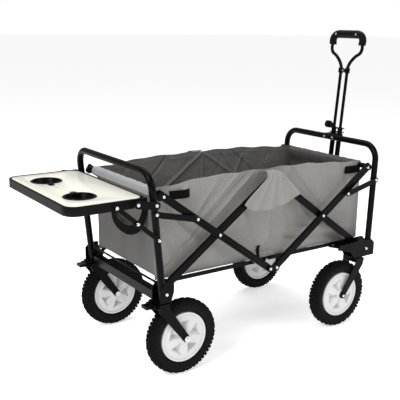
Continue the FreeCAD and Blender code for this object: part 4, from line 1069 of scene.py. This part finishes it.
def make_loop():
    half = [(ROD_SPREAD, COLLAR - 0.012), (ROD_SPREAD, COLLAR + 0.006), (0.020, COLLAR + 0.022),
            (0.040, COLLAR + 0.044), (LOOP_REACH, COLLAR + 0.062), (LOOP_REACH, TOP - 0.018)]
    left = [on_handle(y, length) for y, length in half]
    right = [on_handle(-y, length) for y, length in half]
    foot = (ROD_LOW.z - HANDLE_FOOT.z) / math.cos(LEAN) + 1 * MM
    rods, collar = [], []
    for y in (-ROD_SPREAD, ROD_SPREAD):
        straight = rod("rod", 5 * MM, COLLAR - foot, (0, 0, 0))
        rods.append(smooth(lean(straight, y, (COLLAR + foot) / 2), 40))
        ring = rounded(rod("ring", 8.5 * MM, 17 * MM, (0, 0, 0)), 1.4, segments=3)
        collar.append(smooth(lean(ring, y, COLLAR), 40))
    bridge = box_piece("bridge", (-4 * MM, -ROD_SPREAD, -5 * MM), (4 * MM, ROD_SPREAD, 5 * MM))
    collar.append(lean(bridge, 0, COLLAR))
    halves = [bent_rod("left_half", left, 5.2 * MM), bent_rod("right_half", right, 5.2 * MM)]
    return join("handle_loop", halves + rods + collar)


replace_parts(finished(make_loop(), "rods", "black_frame", GLOSS_BLACK), "handle_rods")


def make_grips():
    """A middle grip with stepped ends and a bent grip round each corner."""
    wide = LOOP_REACH - 22 * MM
    middle = rod("middle_grip", 13 * MM, 2 * wide, (0, 0, 0), axis="Y", vertices=40)
    pieces = []
    for side in (-1, 1):
        corner = [(wide - 6 * MM, TOP), (wide + 9 * MM, TOP - 1 * MM), (LOOP_REACH, TOP - 14 * MM),
                  (LOOP_REACH, TOP - 34 * MM)]
        spots = [on_handle(side * y, length) for y, length in corner]
        pieces.append(bent_rod("corner_grip", spots, 11.6 * MM, 10))
    pick(middle, lambda face: abs(face.normal.y) > 0.9)
    bpy.ops.mesh.inset(thickness=2.2 * MM, depth=1.6 * MM)
    leave_edit()
    return join("loop_grips", [smooth(lean(middle, 0, TOP), 40)] + pieces)


def make_screw(name, radius, y, length, out):
    """A low screw head on the handle's rear face."""
    screw = rod(name, radius, 2.4 * MM, (0, 0, 0))
    for point in screw.data.vertices:
        point.co = on_handle(y + point.co.y, length + point.co.x, out - point.co.z)
    return outward(screw)


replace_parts(finished(make_grips(), "rods", "black_plastic", DULL_BLACK), "handle_grips")
for side in (-1, 1):
    screw = make_screw("grip_screw", 3.6 * MM, side * (LOOP_REACH - 20 * MM), TOP, -12.6 * MM)
    modify(screw, "BEVEL", width=0.8 * MM, segments=2)
    finished(smooth(screw, 40), "rods", "rivet_steel", BRIGHT_STEEL)
collar_screw = make_screw("collar_screw", 3.4 * MM, 0, COLLAR, -5.4 * MM)
finished(smooth(collar_screw, 40), "rods", "rivet_steel", BRIGHT_STEEL)
print("handle loop", round(COLLAR, 3), "to", round(TOP, 3))

# %% [markdown]
# The clamp and its knob. The clamp is meant as a block with three raised ribs and a bored boss.
# Known fault: the bore is cut after the overlapping shells are joined, and only the ribs and a
# plug as wide as the bore survive the cut. Boring the block and the boss before the join would
# keep them. The knob's ribs could be an array of bars, but insetting alternate faces round a
# cylinder and pulling them out makes them in one go. The knob rides with the button it replaces.

# %% Clamp and knob
CLAMP_FACE, BOSS_FACE = 23.5 * MM, 28.5 * MM
KNOB_TRAVEL = 4 * MM
KNOB_START = BOSS_FACE + KNOB_TRAVEL + 0.2 * MM


def make_clamp():
    """Meant as a ribbed block with a bored boss; the cut leaves its ribs and a plug, as told above."""
    middle = (CLAMP_LOW.z - HANDLE_FOOT.z) / math.cos(LEAN) + 20 * MM
    level = ((BUTTON_LOW.z + BUTTON_HIGH.z) / 2 - HANDLE_FOOT.z) / math.cos(LEAN) - middle
    block = box_piece("clamp_block", (-11.5 * MM, -CLAMP_FACE, -20 * MM), (11.5 * MM, CLAMP_FACE, 20 * MM))
    rib_half = CLAMP_FACE - 1 * MM
    ribs = [box_piece("rib", (-13 * MM, -rib_half, foot * MM), (13 * MM, rib_half, (foot + 3) * MM))
            for foot in (-17, -4, 9)]
    boss = rod("boss", 9.5 * MM, BOSS_FACE - rib_half, (0, (BOSS_FACE + rib_half) / 2, level), axis="Y")
    clamp = rounded(join("clamp_block", [block, boss] + ribs), 1.2)
    cut_away(clamp, rod("bore", 6.4 * MM, 8 * MM, (0, BOSS_FACE - 2.4 * MM, level), axis="Y"))
    return smooth(lean(clamp, 0, middle), 35)


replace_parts(finished(make_clamp(), "handle", "black_plastic", DULL_BLACK), "handle_clamp")


def make_knob():
    middle = (BUTTON_LOW + BUTTON_HIGH) / 2
    radius = (BUTTON_HIGH.z - BUTTON_LOW.z) / 2 - 1.5 * MM
    knob = rod("ribbed_knob", radius, BUTTON_HIGH.y - KNOB_START, (0, 0, 0), axis="Y", vertices=36)
    pick(knob, lambda face: abs(face.normal.y) < 0.5
         and int(math.degrees(math.atan2(face.normal.z, face.normal.x)) // 10) % 2 == 0)
    bpy.ops.mesh.inset(thickness=0.25 * MM, depth=1.3 * MM, use_individual=True)
    leave_edit()
    knob.data.transform(Matrix.Translation((middle.x, (KNOB_START + BUTTON_HIGH.y) / 2, middle.z)))
    stem = rod("knob_stem", 5.7 * MM, KNOB_START - BUTTON_LOW.y + 1 * MM,
               (middle.x, (KNOB_START + BUTTON_LOW.y + 1 * MM) / 2, middle.z), axis="Y")
    return join("clamp_knob", [smooth(knob, 30), smooth(stem, 40)])


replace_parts(finished(make_knob(), "button", "black_plastic", DULL_BLACK), "clamp_button")
print("knob starts at", round(KNOB_START, 4), "and travels", KNOB_TRAVEL)

# %% [markdown]
# Small fittings. Round caps close the bars' top ends, and two rivets hold the handle's rest to
# the front top bar.

# %% Caps and rest rivets
TOP_BAR_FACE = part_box("front_end_frame")[1].x - 19 * MM
REST_LEVEL = 0.5625


def make_caps(body, x):
    caps = []
    for side in (-1, 1):
        place = (x, side * (BAR_FACE - 5 * MM), BAR_TOP_REAR.z)
        cap = rod("cap", 9.8 * MM, 11 * MM, place, axis="Y", vertices=36)
        caps.append(smooth(rounded(cap, 1.2), 40))
    return finished(join("bar_caps_" + body, caps), body, "black_plastic", DULL_BLACK)


for y in (14 * MM, -22 * MM):
    rest_rivet = rod("rest_rivet", 4 * MM, 3 * MM, (TOP_BAR_FACE, y, REST_LEVEL), axis="X", vertices=24)
    modify(rest_rivet, "BEVEL", width=1.0 * MM, segments=2)
    finished(smooth(rest_rivet, 40), "front_frame", "rivet_steel", BRIGHT_STEEL)
make_caps("bars_a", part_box("bars_a")[0].x + 10 * MM)
make_caps("bars_e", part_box("bars_e")[1].x - 10 * MM)
print("caps done")

# %% [markdown]
# Floor and lights. A pale floor that glows a little runs into a white surround, with one broad
# key from the left, a weaker fill from the right and a large panel above, as a product studio
# has. The surround could light the scene at full strength, but then the blacks would turn grey,
# so a Light Path node shows it white to the camera and lets it light the wagon less.

# %% Floor and lights
def set_floor():
    bpy.ops.mesh.primitive_plane_add(size=80)
    floor = fresh("studio_floor")
    material, tree, shader = new_material("pale_floor")
    place = node(tree, "ShaderNodeTexCoord").outputs["Object"]
    cloud = noise_of(tree, place, 1.5, 2.0)
    tree.links.new(mixed(tree, cloud, (0.93, 0.93, 0.93), (0.95, 0.95, 0.95)), shader.inputs["Base Color"])
    shader.inputs["Roughness"].default_value = 0.7
    shader.inputs["Emission Color"].default_value = (1.0, 1.0, 1.0, 1.0)
    shader.inputs["Emission Strength"].default_value = 0.54
    floor.data.materials.append(material)


def soft_light(name, place, aim, size, power):
    lamp = bpy.data.lights.new(name, "AREA")
    lamp.shape = "SQUARE"
    lamp.size = size
    lamp.energy = power
    holder = bpy.data.objects.new(name, lamp)
    holder.location = place
    holder.rotation_euler = (Vector(aim) - Vector(place)).to_track_quat("-Z", "Y").to_euler()
    bpy.context.scene.collection.objects.link(holder)


deselect()
set_floor()
soft_light("key", (-2.9, -1.1, 2.7), (0, 0, 0.3), 1.3, 85)
soft_light("fill", (1.6, -2.8, 1.8), (0, 0, 0.4), 1.4, 26)
soft_light("top", (0.2, 0.6, 3.2), (0, 0, 0.3), 3.0, 60)
world = bpy.data.worlds.new("white_surround")
world.use_nodes = True
surround = world.node_tree.nodes["Background"]
surround.inputs["Color"].default_value = (1.0, 1.0, 1.0, 1.0)
seen = node(world.node_tree, "ShaderNodeLightPath").outputs["Is Camera Ray"]
world.node_tree.links.new(remap(world.node_tree, seen, 0.0, 1.0, 0.42, 1.0), surround.inputs["Strength"])
bpy.context.scene.world = world
bpy.context.scene.view_settings.view_transform = "Standard"
print("stage set")
